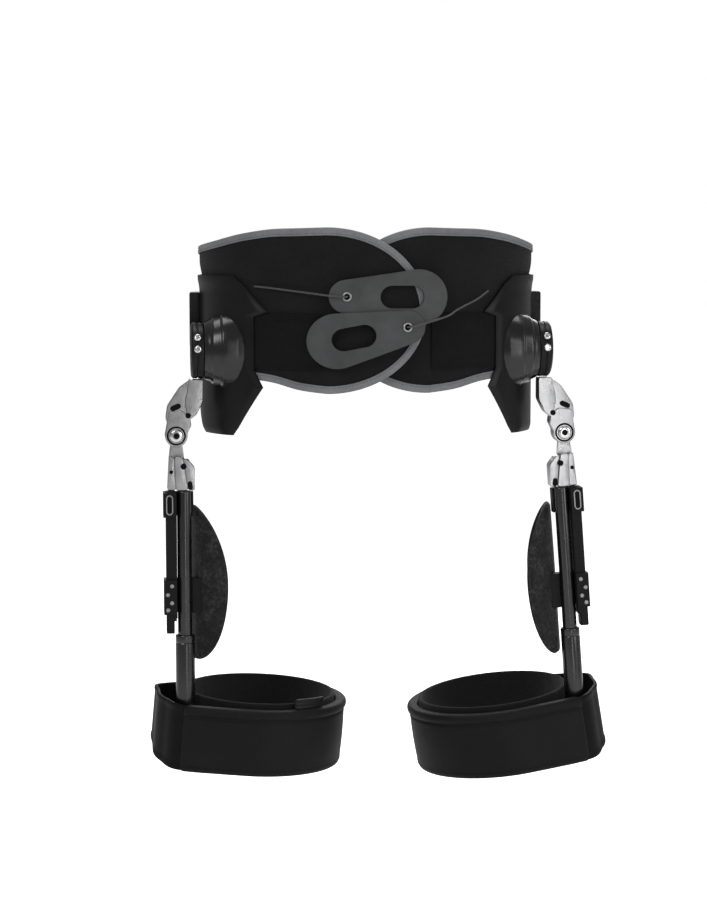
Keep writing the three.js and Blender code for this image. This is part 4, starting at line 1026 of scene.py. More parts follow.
def pull_cord(side):
    """A cord along its route on the belt's front: a round section carried along a smooth curve."""
    route = np.array(CORD_ROUTES[side])
    path = softly(on_waist(angle_across(route[:, 0]), route[:, 1], route[:, 2]), 140)
    return hose(path, 0.0009, 12)


# Hip plates


def plate_edges(share):
    """The plate's front and back angles at a height share, read from its rows."""
    front = PLATE_FRONT + np.interp(share, PLATE_ROWS["height"], PLATE_ROWS["front"])
    back = PLATE_BACK + np.interp(share, PLATE_ROWS["height"], PLATE_ROWS["back"])
    return np.radians(front), np.radians(back)


def plate_sheet():
    """The moulded plate: rows of a slab between two waist offsets, whose outer face falls to a thin edge
    over a bevelled strip, and at its four tips over a slanted facet."""
    share = np.unique(np.concatenate([np.linspace(0, 1, 61), PLATE_ROWS["height"]]))
    front, back = plate_edges(share)
    height = -0.076 + 0.153 * share
    strip = np.array([0, 0.012, 0.03, 0.05, 0.062, 0.075])
    over = np.concatenate([strip, np.linspace(0.1, 0.9, 34), 1 - strip[::-1]])
    fall = 0.0019 * (1 - smooth(np.minimum(over, 1 - over) / 0.062))
    rim = 0.0011 * (1 - smooth(np.minimum(share, 1 - share) / 0.03))
    facet = 0.0024 * (np.clip((share - 0.8) / 0.2, 0, 1) + np.clip((0.22 - share) / 0.22, 0, 1))
    tip = facet[:, None] * np.clip(1 - over / 0.3, 0, 1)[None]
    angle = front[:, None] + (back - front)[:, None] * over[None]
    outer = on_waist(angle, height[:, None], PLATE_OUT - np.maximum(fall[None] + rim[:, None], tip))
    inner = on_waist(angle, height[:, None], PLATE_IN)
    points = np.concatenate([outer, inner[:, ::-1]], 1)
    along = np.broadcast_to(height[:, None], (len(height), points.shape[1] + 1))
    length = travelled(np.concatenate([points[30], points[30, :1]]))
    surface = np.stack([along, np.broadcast_to(length, along.shape)], -1)
    return gridded(points, surface, True, has_caps=True)


def dome():
    """The domed boss: a turning about the hip axis whose foot flares into the plate. Where it would reach
    inside the plate it stays on the plate's middle."""
    share = np.linspace(0, 1, 90)
    depth = through(DOME_RINGS["depth"], DOME_RINGS["depth"], share)
    radius = np.interp(share, DOME_RINGS["depth"], DOME_RINGS["radius"])
    foot = BOSS_FACE - DOME_DEPTH
    along = np.concatenate([foot + DOME_DEPTH * depth, [BOSS_FACE]])
    reach = np.concatenate([DOME_RADIUS * radius, [0.0]])
    shape = turned(along, reach, 96, "x", (0, *HIP_AXIS))
    across, ahead, height = shape.points.T
    slimness = DOME_SLIMNESS + (1 - DOME_SLIMNESS) * smooth((across - foot) / DOME_DEPTH)
    ahead = HIP_AXIS[0] + (ahead - HIP_AXIS[0]) * slimness
    middle = (PLATE_IN + PLATE_OUT) / 2
    angle = np.arctan2(across / WAIST_HALF_WIDTH, -ahead / WAIST_HALF_DEPTH)
    seat = on_waist(angle, height, middle)
    shape.points = np.stack([np.maximum(across, seat[:, 0]), ahead, height], -1)
    return shape


def keeper_block():
    """The keeper: a rounded block on the plate's side, bent round the waist."""
    angle = np.radians(np.linspace(88, 104, 16))
    low, high = np.full(16, 0.006), np.full(16, 0.06)
    block = wall_on_waist(angle, np.full(16, PLATE_OUT + 0.00515), low, high, 0.00485, 0.0022, 20)
    return block


def hinge_disc():
    """The flexion hinge: a stepped turning with a grooved rim, a raised cap and a recessed centre."""
    face, inner, r = HINGE_FACE, HINGE_IN, HINGE_RADIUS
    rows = [
        (inner, 0.0),
        (inner, r - 0.0008),
        (inner + 0.0008, r),
        (inner + 0.0052, r),
        (inner + 0.0056, r - 0.0007),
        (inner + 0.0064, r - 0.0007),
        (inner + 0.0068, r),
        (face - 0.002, r),
        (face, r - 0.002),
        (face, 0.019),
        (face - 0.0008, 0.0182),
        (face - 0.0008, 0.012),
        (face, 0.0113),
        (face + 0.0002, 0.0072),
        (face - 0.0014, 0.0066),
        (face - 0.0014, 0.0),
    ]
    along, radius = rounded_turning(rows, 0.0005, 2)
    body = turned(along, radius, 96, "x", (0, *HIP_AXIS))
    spots = np.radians(np.arange(0, 360, 60) + 30)
    screws = []
    for spot in spots:
        centre = (0, HIP_AXIS[0] + 0.0153 * np.cos(spot), HIP_AXIS[1] + 0.0153 * np.sin(spot))
        back, front = face - 0.001, face - 0.0002
        head = [(back, 0.0), (back, 0.0021), (front, 0.0019), (front, 0.0009), (back, 0.0)]
        screws.append(turned(*zip(*head), 20, "x", centre))
    return joined([body, *screws])


def round_head(radius, height, sides=32):
    """A button screw head along its axis: a low dome with a recessed socket."""
    turn = np.linspace(0, np.pi / 2, 7)
    rows = [(0.0, 0.0), (0.0, radius)]
    rows += [(height * np.sin(t), radius * (0.55 + 0.45 * np.cos(t))) for t in turn[1:]]
    rows += [(height, radius * 0.46), (height * 0.45, radius * 0.4), (height * 0.45, 0.0)]
    return turned(*zip(*rows), sides, "z", (0, 0, 0))


def aimed(shape, place, direction):
    """Turns a shape built along Z so that it points in a direction, and puts its foot at a place."""
    direction = unit(np.asarray(direction, float))
    helper = np.array([0.0, 0.0, 1.0]) if abs(direction[2]) < 0.9 else np.array([1.0, 0.0, 0.0])
    first = unit(np.cross(helper, direction))
    second = np.cross(direction, first)
    p = shape.points
    shape.points = np.asarray(place) + p[:, :1] * first + p[:, 1:2] * second + p[:, 2:] * direction
    return shape


def stop_screw(above):
    """A screw head on the hinge's rim, at degrees above straight forwards."""
    turn = np.radians(above)
    away = np.array([0.0, -np.cos(turn), np.sin(turn)])
    middle = np.array([(HINGE_IN + HINGE_FACE) / 2, *HIP_AXIS])
    return aimed(round_head(0.0038, 0.0025), middle + away * (HINGE_RADIUS + 0.0003), away)


def pivot_pin():
    """The abduction pin: a shank with a domed, socketed head at each end of the fork."""
    half = 0.0093
    shank = hose(np.array([[PIVOT[0], HIP_AXIS[0] + y, PIVOT[1]] for y in (-half, half)]), 0.004, 24)
    heads = [
        aimed(round_head(0.0065, 0.002, 40), (PIVOT[0], HIP_AXIS[0] + sign * half, PIVOT[1]), (0, sign, 0))
        for sign in (-1, 1)
    ]
    return joined([shank, *heads])


# Links


def chamfered(outline, cut):
    """Cuts each corner of an outline at a distance along both of its sides, held under a third of a side."""
    before, after = np.roll(outline, 1, 0), np.roll(outline, -1, 0)
    ends = []
    for other in (before, after):
        side = np.linalg.norm(other - outline, axis=-1, keepdims=True)
        ends.append(outline + (other - outline) / side * np.minimum(cut, side / 3))
    return np.stack(ends, 1).reshape(-1, 2)


def flat_plate(outline, front, back, corner=0.0012, bevel=0.0007, crown=0.0003):
    """A flat plate from its front to its back: an outline across and up, in millimetres, with its corners
    cut twice, shrinks towards its middle by the bevel at both faces, which are slightly crowned."""
    outline = chamfered(chamfered(np.asarray(outline, float) * 0.001, corner), corner * 0.35)
    middle = outline.mean(0)
    inset = outline - unit(outline - middle) * bevel
    crest = middle + (inset - middle) * 0.35
    front, back = front + crown, back - crown
    depth = np.array([front - crown, front, front + bevel, back - bevel, back, back + crown])
    across_up = np.stack([crest, inset, outline, outline, inset, crest])
    depths = np.broadcast_to(depth[:, None], across_up.shape[:2])
    points = np.stack([across_up[..., 0], depths, across_up[..., 1]], -1)
    length = travelled(np.concatenate([outline, outline[:1]]))
    surface = np.stack(np.meshgrid(depth, length, indexing="ij"), -1)
    return gridded(points, surface, True, has_caps=True)


def arc(centre, radius, first, last, count=14):
    """Points of an arc, in millimetres, between two angles in degrees above straight outwards."""
    turn = np.radians(np.linspace(first, last, count))
    return [(centre[0] + radius * np.cos(t), centre[1] + radius * np.sin(t)) for t in turn]


def round_outline(screw, count=18):
    """A full circle's points for a place and a radius, in millimetres, with no point twice."""
    place, radius = screw
    return arc(place, radius, 0, 340, count)


def capsule(centre, half_width, half_height, lean=0.0):
    """An upright bar with round ends, in millimetres, turned by a lean in degrees."""
    reach = half_height - half_width
    ends = arc((0, reach), half_width, 0, 180) + arc((0, -reach), half_width, 180, 360)
    turn = np.radians(lean)
    return [
        (centre[0] + x * np.cos(turn) - z * np.sin(turn), centre[1] + x * np.sin(turn) + z * np.cos(turn))
        for x, z in ends
    ]


def fork_link():
    """The upper link: a bright slab beside the plate, an arm set back beside it, and two cheeks that hold
    the pivot."""
    cheek = [*FORK_CHEEK_TOP, *arc(PIVOT_PLACE, 11, 20, -190, 22), FORK_CHEEK_END]
    plates = [flat_plate(FORK_SLAB, -0.057, -0.039), flat_plate(FORK_ARM, -0.0552, -0.0408)]
    plates += [flat_plate(cheek, front, front + 0.0056) for front in (-0.057, -0.0446)]
    return joined(plates)


def fork_screws():
    """Dark fasteners of the upper link: a slanted key, a round screw and the ring round the pivot."""
    key = flat_plate(capsule((190.5, -49.5), 2.6, 5.4, 66), -0.0564, -0.0546, 0.0003, 0.0003, 0)
    screw = flat_plate(round_outline(FORK_SCREW), -0.0578, -0.0562, 0.0002, 0.0004, 0)
    turn = np.linspace(0, FULL, 13)
    along, radius = 0.0007 * np.sin(turn), 0.0084 + 0.0009 * np.cos(turn)
    ring = turned(along, radius, 40, "y", (PIVOT[0], -0.057, PIVOT[1]))
    cap = flat_plate(round_outline((PIVOT_PLACE, 2.9)), -0.0597, -0.0585, 0.0002, 0.0002, 0)
    return joined([key, screw, ring, cap])


def shank_link():
    """The lower link: the eye on the pivot with its neck, and a foot of three slanted plates round a core."""
    eye = [*arc(PIVOT_PLACE, 9.4, -52, 232, 26), *SHANK_NECK]
    return joined(
        [
            flat_plate(eye, -0.051, -0.045, 0.0004),
            flat_plate(SHANK_CORE, -0.056, -0.044),
            flat_plate(SHANK_OUTER, -0.058, -0.043),
            flat_plate(SHANK_BRIGHT, -0.061, -0.042),
            flat_plate(SHANK_INNER, -0.0592, -0.0425),
        ]
    )


def shank_screws():
    """Dark fasteners of the lower link."""
    upper = flat_plate(round_outline(SHANK_UPPER_SCREW), -0.0617, -0.0597, 0.0002, 0.0004, 0)
    lower = flat_plate(capsule((177, -125), 2.2, 4.2, -8), -0.06, -0.058, 0.0003, 0.0003, 0)
    side = flat_plate(round_outline(SHANK_SIDE_SCREW, 14), -0.0588, -0.0572, 0.0002, 0.0003, 0)
    return joined([upper, lower, side])


def block_details():
    """Bright details on the two rod blocks' fronts: an oval frame above, and screws below."""
    frame_ring = flat_plate(capsule(LATCH_SLOT, 3.5, 9.8), -0.0647, -0.0632, 0.0003, 0.0003, 0)
    outlines = [round_outline((place, 2.1), 14) for place in CLAMP_SCREWS]
    heads = [flat_plate(outline, -0.0651, -0.0632, 0.0002, 0.0004, 0) for outline in outlines]
    return joined([frame_ring, *heads])


def bar_web():
    """A thin web on the flat bar's inner face, which nearly meets the rod above the tube's travel."""
    return corner_box((0.1903, -0.0595, -0.255), (0.1925, -0.0505, -0.1312), 0.0003)


def block_slot():
    """The dark middle of the upper rod block's oval frame."""
    return flat_plate(capsule(LATCH_SLOT, 2.3, 8.6), -0.0649, -0.0632, 0.0002, 0.0002, 0)


# Uprights


def corner_box(low, high, bevel):
    """A box whose edges are cut back: an outline with rounded corners across, carried up with two small
    steps of inset at each end."""
    low, high = np.asarray(low, float), np.asarray(high, float)
    middle, half = (low + high) / 2, (high - low) / 2
    section = rounded_section(half[0], -half[1], half[1], bevel, 4, 4, 4)[0]
    inset = bevel * (1 - np.array([0, 0.38, 0.71, 0.92, 1, 1, 0.92, 0.71, 0.38, 0]))
    step = bevel * np.array([0, 0.08, 0.29, 0.62, 1])
    height = np.concatenate([low[2] + step, high[2] - step[::-1]])
    shrink = 1 - inset[:, None] / half[None, :2]
    points = np.stack(
        [
            middle[0] + section[None, :, 0] * shrink[:, :1],
            middle[1] + section[None, :, 1] * shrink[:, 1:],
            np.broadcast_to(height[:, None], (len(height), len(section))),
        ],
        -1,
    )
    length = travelled(np.concatenate([section, section[:1]]))
    surface = np.stack(np.meshgrid(height, length, indexing="ij"), -1)
    return gridded(points, surface, True, has_caps=True)


def upright_rod():
    """The rod: a solid turning with cut ends."""
    low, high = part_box("rod_right")
    rows = [
        (low.z, 0.0),
        (low.z, 0.0062),
        (low.z + 0.001, 0.007),
        (high.z - 0.001, 0.007),
        (high.z, 0.0062),
        (high.z, 0.0),
    ]
    along, radius = rounded_turning(rows, 0.0006)
    return turned(along, radius, 64, "z", (*ROD, 0))


def slide_tube():
    """The tube: a bored turning with a rolled collar at its mouth, and the lug towards the cuff's shell."""
    low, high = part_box("tube_right")
    rows = [
        (low.z, 0.0077),
        (low.z, 0.0088),
        (low.z + 0.0008, 0.0094),
        (high.z - 0.0085, 0.0094),
        (high.z - 0.0078, 0.0088),
        (high.z - 0.007, 0.0094),
        (high.z - 0.0008, 0.0094),
        (high.z, 0.0088),
        (high.z, 0.0077),
        (low.z, 0.0077),
    ]
    along, radius = rounded_turning(rows, 0.0003, 2)
    body = turned(along, radius, 64, "z", (*ROD, 0))
    lug = corner_box((0.1912, ROD[1] - 0.006, low.z + 0.0004), (0.225, ROD[1] + 0.006, low.z + 0.05), 0.0015)
    centre, normal = shell_path(120)[:2]
    inner = centre - normal * 0.0021
    order = np.argsort(inner[:60, 1])
    limit = np.interp(lug.points[:, 1], inner[:60, 1][order], inner[:60, 0][order])
    limit += CUFF_LEAN * (BAND_TOP - lug.points[:, 2])
    lug.points[:, 0] = np.minimum(lug.points[:, 0], limit)
    return joined([body, lug])


def pad_reach(turn):
    """The pad's half width along its length, as a share: a sine, raised to a lower power below the middle,
    which makes the pad's lower end blunt."""
    lower = np.cos(turn) < 0
    return np.abs(np.sin(turn)) ** np.where(lower, 0.7, 1.0)


def around_pad(depth, angle, height):
    """Points round the pad's upright axis: a distance, an angle and a height."""
    across, ahead = PAD_CENTRE[0] + depth * np.cos(angle), PAD_CENTRE[1] + depth * np.sin(angle)
    return np.stack([across, ahead, height], -1)


def thigh_pad_form(slim=1.0):
    """The thigh pad before it swells: rows from the top pole to the bottom one of a lens wrapped on an
    upright cylinder. Each row is a loop whose thickness follows a flattened sine."""
    low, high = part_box("thigh_pad_right")
    turn = np.radians(np.linspace(6, 174, 44))[:, None]
    loop = np.linspace(0, FULL, 72, endpoint=False)[None]
    across = np.cos(loop)
    outer = PAD_RADIUS - 0.0035 * np.abs(across) ** 5
    inner = PAD_RADIUS - 0.014 + 0.0045 * across**2
    bulge = np.sign(np.sin(loop)) * np.abs(np.sin(loop)) ** 0.62 * slim
    depth = (outer + inner) / 2 + (outer - inner) / 2 * bulge
    depth = PAD_RADIUS - (PAD_RADIUS - depth) * np.sin(turn) ** 0.25
    angle = PAD_MIDDLE + PAD_HALF * 0.98 * pad_reach(turn) * across
    height = (low.z + high.z) / 2 + (high.z - low.z) / 2 * 0.995 * np.cos(turn) + 0 * loop
    points = around_pad(depth, angle, height)
    return gridded(points, np.zeros((45, 73, 2)), True, has_caps=True)


def coordinates(made):
    """A mesh's points as rows of three."""
    points = np.empty(len(made.data.vertices) * 3, np.float32)
    made.data.vertices.foreach_get("co", points)
    return points.reshape(-1, 3).astype(float)


def swollen(made, voxel, pressure, cap):
    """Makes a padded piece by cloth simulation: an even voxel mesh swells under pressure with no gravity
    for 20 frames, each point's movement is held under the cap, and one subdivision follows."""
    remesh = made.modifiers.new("Even mesh", "REMESH")
    remesh.mode = "VOXEL"
    remesh.voxel_size = voxel
    applied(made)
    before = coordinates(made)
    cloth = made.modifiers.new("Cloth", "CLOTH")
    cloth.settings.use_pressure = True
    cloth.settings.uniform_pressure_force = pressure
    cloth.settings.effector_weights.gravity = 0
    cloth.settings.quality = 4
    for step in range(1, 21):
        bpy.context.scene.frame_set(step)
    applied(made)
    moved = coordinates(made) - before
    length = np.maximum(np.linalg.norm(moved, axis=-1, keepdims=True), 1e-9)
    held = before + moved * np.minimum(1, cap / length)
    made.data.vertices.foreach_set("co", held.astype(np.float32).ravel())
    bpy.context.scene.frame_set(1)
    smoother = made.modifiers.new("Finer", "SUBSURF")
    smoother.levels = smoother.render_levels = 1
    return applied(made)


def moved_to_side(made, side, is_thigh=True):
    """Puts a finished mesh on its own side."""
    points = sided(coordinates(made), side, is_thigh)
    made.data.vertices.foreach_set("co", points.astype(np.float32).ravel())
    if SIDES[side] < 0:
        made.data.flip_normals()
    made.data.update()
    return made


def thigh_pad_trim():
    """Piping along the pad's rim: a round section carried round the oval."""
    low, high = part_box("thigh_pad_right")
    turn = np.linspace(0, FULL, 200)
    angle = PAD_MIDDLE + PAD_HALF * 0.93 * np.sign(np.sin(turn)) * pad_reach(turn)
    height = (low.z + high.z) / 2 + (high.z - low.z) / 2 * 0.97 * np.cos(turn)
    depth = PAD_RADIUS - 0.0045 - 0.0015 * np.abs(np.sin(turn))
    path = around_pad(depth, angle, height)
    path = evenly(path, 180)[:-1]
    forward = unit(np.roll(path, -1, 0) - np.roll(path, 1, 0))
    out = unit(path - [PAD_CENTRE[0], PAD_CENTRE[1], 0] * np.array([1, 1, 0]) - path * [0, 0, 1])
    aside = np.cross(forward, out)
    ring = np.linspace(0, FULL, 12, endpoint=False)
    return carried(path, out, aside, 0.0021 * np.stack([np.cos(ring), np.sin(ring)], -1), is_loop=True)


# Thigh cuffs


def cuff_path(table, half, count, is_loop=False):
    """A plan path from shares of half width and half depth, with outward normals: points lie evenly on a
    smooth curve, tilted so that the height rises outwards."""
    table = np.asarray(table, float)
    flat = np.zeros((len(table), 3))
    flat[:, 0] = CUFF_CENTRE[0] + half[0] * table[:, 0]
    flat[:, 1] = CUFF_CENTRE[1] + half[1] * table[:, 1]
    extra = table[:, 2:]
    wide = softly(np.concatenate([flat, extra], 1), count * 4)
    path = evenly(wide[:, :3], count + 1 if is_loop else count)
    length = travelled(wide[:, :3])
    at = np.linspace(0, length[-1], len(path))
    others = [np.interp(at, length, wide[:, 3 + k]) for k in range(extra.shape[1])]
    if is_loop:
        path = path[:-1]
        along = unit(np.roll(path, -1, 0) - np.roll(path, 1, 0))
    else:
        along = unit(np.gradient(path, axis=0))
    normal = np.stack([along[:, 1], -along[:, 0], 0 * along[:, 0]], -1)
    outward = np.sign(np.sum(normal * (path - [*CUFF_CENTRE, 0]), -1))
    return path, normal * outward[:, None], others


def tilted(centre):
    """Centre points raised by the cuff's tilt, so that a profile's heights follow it, and moved so that a
    wall that leans outwards going down stands over its plan at the band's top."""
    raised = centre.copy()
    raised[:, 2] = CUFF_TILT * (centre[:, 0] - CUFF_CENTRE[0])
    raised[:, 0] += CUFF_LEAN * BAND_TOP
    return raised


def softened(outline, rounds=2):
    """Cuts an outline's corners by quarters, twice: each side keeps its middle half each time."""
    for _ in range(rounds):
        after = np.roll(outline, -1, -2)
        pair = np.stack([outline * 0.75 + after * 0.25, outline * 0.25 + after * 0.75], -2)
        outline = pair.reshape(*outline.shape[:-2], -1, 2)
    return outline


def round_ended(sections, centre, radius):
    """Rounds off the two ends of a carried profile: near an end it shrinks towards its middle by a quarter
    circle of that radius."""
    length = travelled(centre)
    near = np.minimum(length, length[-1] - length) / radius
    keep = np.sqrt(np.clip(1 - (1 - np.clip(near, 0.02, 1)) ** 2, 0, 1))[:, None]
    middle = (sections.max(1) + sections.min(1)) / 2
    half = (sections.max(1) - sections.min(1)) / 2
    shrink = 1 - (1 - keep) * np.minimum(1, radius / half)
    return middle[:, None] + (sections - middle[:, None]) * shrink[:, None]


def ended(centre, normal, radius, steps=7):
    """Adds rows near both ends of a path, close together where a rounded end curves most."""
    length = travelled(centre)
    close = radius * (1 - np.cos(np.linspace(0, np.pi / 2, steps)))
    at = np.unique(np.concatenate([close, length, length[-1] - close]))
    fill = [np.stack([np.interp(at, length, v[:, k]) for k in range(3)], -1) for v in (centre, normal)]
    return fill[0], unit(fill[1])


def band_table():
    """Plan of the cuff's band in shares of its half sizes: a corner at the upright, then a circle."""
    corner = [(0.94, -0.81), (0.747, -0.868), (0.47, -0.925)]
    turn = np.radians(np.arange(15, -241, -15))
    return corner + list(zip(np.sin(turn), -np.cos(turn)))


def cuff_band():
    """The cuff's padded band: a profile with a rolled top edge carried round the thigh, with rounded ends,
    a stitched seam under the roll and one above the bottom edge."""
    centre, normal, _ = cuff_path(band_table(), BAND_HALF, 150)
    centre, normal = ended(tilted(centre), normal, 0.004)
    half, bottom, top = 0.005, BAND_TOP - BAND_HEIGHT, BAND_TOP
    side = np.linspace(bottom + 0.006, top - 0.0115, 10)
    outline = np.array(
        [
            (-half, bottom + 0.002),
            (-half + 0.002, bottom),
            (half - 0.002, bottom),
            (half - 0.0002, bottom + 0.0025),
            *[(half + 0.0006 * np.sin(np.pi * (z - side[0]) / (side[-1] - side[0])), z) for z in side],
            (half - 0.0012, top - 0.0095),
            (half + 0.0014, top - 0.0078),
            (half + 0.0018, top - 0.0045),
            (half + 0.001, top - 0.0015),
            (half - 0.0015, top),
            (-half + 0.001, top),
            (-half, top - 0.002),
        ]
    )
    sections = np.broadcast_to(softened(outline), (len(centre), len(outline) * 4, 2))
    upward = np.broadcast_to(LEANING_UP, centre.shape)
    band = carried(centre, normal, upward, round_ended(sections, centre, 0.004))
    seams = []
    for height, out in ((top - 0.0118, half + 0.0001), (bottom + 0.0052, half + 0.0003)):
        line = (centre + normal * out + LEANING_UP * height)[8:-8]
        seams.append(stitched(line, normal[8:-8], 0.0034, 0.0026, 0.00024))
    return band, joined(seams)


def shell_path(count):
    """Plan path of the cuff's outer shell, with its top and bottom heights and its outward normals."""
    rows = [
        (0.875, -0.868, 0.99, 0.02),
        (0.965, -0.826, 1.0, 0.02),
        (1.17, -0.55, 1.03, 0.07),
        (1.26, -0.12, 1.06, 0.2),
        (1.27, 0.2, 1.04, 0.26),
        (1.15, 0.46, 1.0, 0.22),
    ]
    reach = 0.009
    for degrees, top, bottom in ((126, 0.98, 0.16), (140, 0.96, 0.1)):
        turn = np.radians(degrees)
        across = np.sin(turn) * (1 + reach / BAND_HALF[0])
        rows.append((across, -np.cos(turn) * (1 + reach / BAND_HALF[1]), top, bottom))
    centre, normal, (top, bottom) = cuff_path(rows, BAND_HALF, count)
    return centre, normal, top, bottom


def cuff_shell():
    """The outer shell: a thin moulded wall with rounded edges and a raised rim."""
    centre, normal, top, bottom = shell_path(110)
    low, high = BAND_TOP - BAND_HEIGHT + BAND_HEIGHT * bottom, BAND_TOP - BAND_HEIGHT + BAND_HEIGHT * top
    sections = rounded_section(np.full(110, 0.00175), low, high, 0.0012, 30, 4)
    share = (sections[..., 1] - low[:, None]) / (high - low)[:, None]
    rim = smooth((np.abs(share - 0.5) - 0.4) / 0.05) * 0.0007
    outer = sections[..., 0] > 0
    sections[..., 0] = np.where(outer, sections[..., 0] - 0.0007 + rim, sections[..., 0])
    sections = round_ended(sections, centre, 0.003)
    return carried(tilted(centre), normal, np.broadcast_to(LEANING_UP, centre.shape), sections)


def cuff_liner():
    """The thin lining inside the band: a soft ring a little taller than the band."""
    turn = np.linspace(0, FULL, 33)
    table = np.stack([np.sin(turn), -np.cos(turn)], -1)
    centre, normal, _ = cuff_path(table, LINER_HALF, 150, True)
    low, high = BAND_TOP - BAND_HEIGHT + 0.005, BAND_TOP + 0.005
    sections = rounded_section(0.002, low, high, 0.0018, 16, 5)
    return carried(tilted(centre), normal, np.broadcast_to(LEANING_UP, centre.shape), sections, is_loop=True)


def cuff_tab():
    """A small tab on the band's top edge, with three raised ribs."""
    spread = 0.018 / BAND_HALF[0]
    turn = np.radians(-34) + np.linspace(-spread, spread, 9)
    centre, normal, _ = cuff_path(np.stack([np.sin(turn), -np.cos(turn)], -1), BAND_HALF, 40)
    low, high = BAND_TOP + 0.0003, BAND_TOP + 0.0103
    sections = rounded_section(np.full(40, 0.0015), low, high, 0.0013, 24, 4).copy()
    wave = np.maximum(0, np.sin((sections[..., 1] - low) / (high - low) * np.pi * 5))
    sections[..., 0] += np.where(sections[..., 0] > 0.0012, 0.0004 * (wave - 1), 0)
    sections = round_ended(sections, centre, 0.003)
    return carried(tilted(centre), normal, np.broadcast_to(LEANING_UP, centre.shape), sections)


# Sizes and colours that a user would change


def colour(name, text, default):
    """A colour setting."""
    return FloatVectorProperty(name=name, description=text, default=default, subtype="COLOR", min=0, max=1)


class HipOrthosisSettings(bpy.types.PropertyGroup):
    """Colours of the finishes, and the stage's sizes."""

    cloth_colour: colour("Cloth", "Belt panels and linings", (0.0055, 0.0055, 0.0058))
    trim_colour: colour("Trim", "Edge binding", (0.135, 0.137, 0.142))
    strap_colour: colour("Strap", "Front straps", (0.0035, 0.0035, 0.004))
    tab_colour: colour("Tabs", "Pull tabs", (0.037, 0.038, 0.039))
    cord_colour: colour("Cords", "Pull cords", (0.03, 0.03, 0.031))
    moulded_colour: colour("Moulded", "Plates, tubes and shells", (0.0045, 0.0045, 0.0048))
    steel_colour: colour("Steel", "Links, pins and screws", (0.62, 0.62, 0.63))
    pad_colour: colour("Pads", "Thigh pads' mesh", (0.011, 0.011, 0.0115))
    cuff_colour: colour("Cuffs", "Thigh cuffs' cover", (0.004, 0.004, 0.0042))
    stitch_colour: colour("Stitches", "Sewing thread", (0.06, 0.06, 0.062))
    camera_distance: FloatProperty(
        name="Camera distance", description="From the aim to the camera", default=2.3, unit="LENGTH", min=0.5
    )
    camera_aim: FloatProperty(
        name="Camera aim", description="Height that the camera looks at", default=-0.12, unit="LENGTH"
    )
    camera_turn: FloatProperty(
        name="Camera turn", description="Azimuth from the front", default=np.radians(-6), subtype="ANGLE"
    )
    camera_rise: FloatProperty(
        name="Camera rise", description="Elevation above level", default=np.radians(6), subtype="ANGLE"
    )
    floor_height: FloatProperty(
        name="Floor height", description="Height of the floor", default=-0.56, unit="LENGTH"
    )


# Operators


class PieceOperator:
    """What the piece operators share."""

    bl_options = {"REGISTER", "UNDO"}


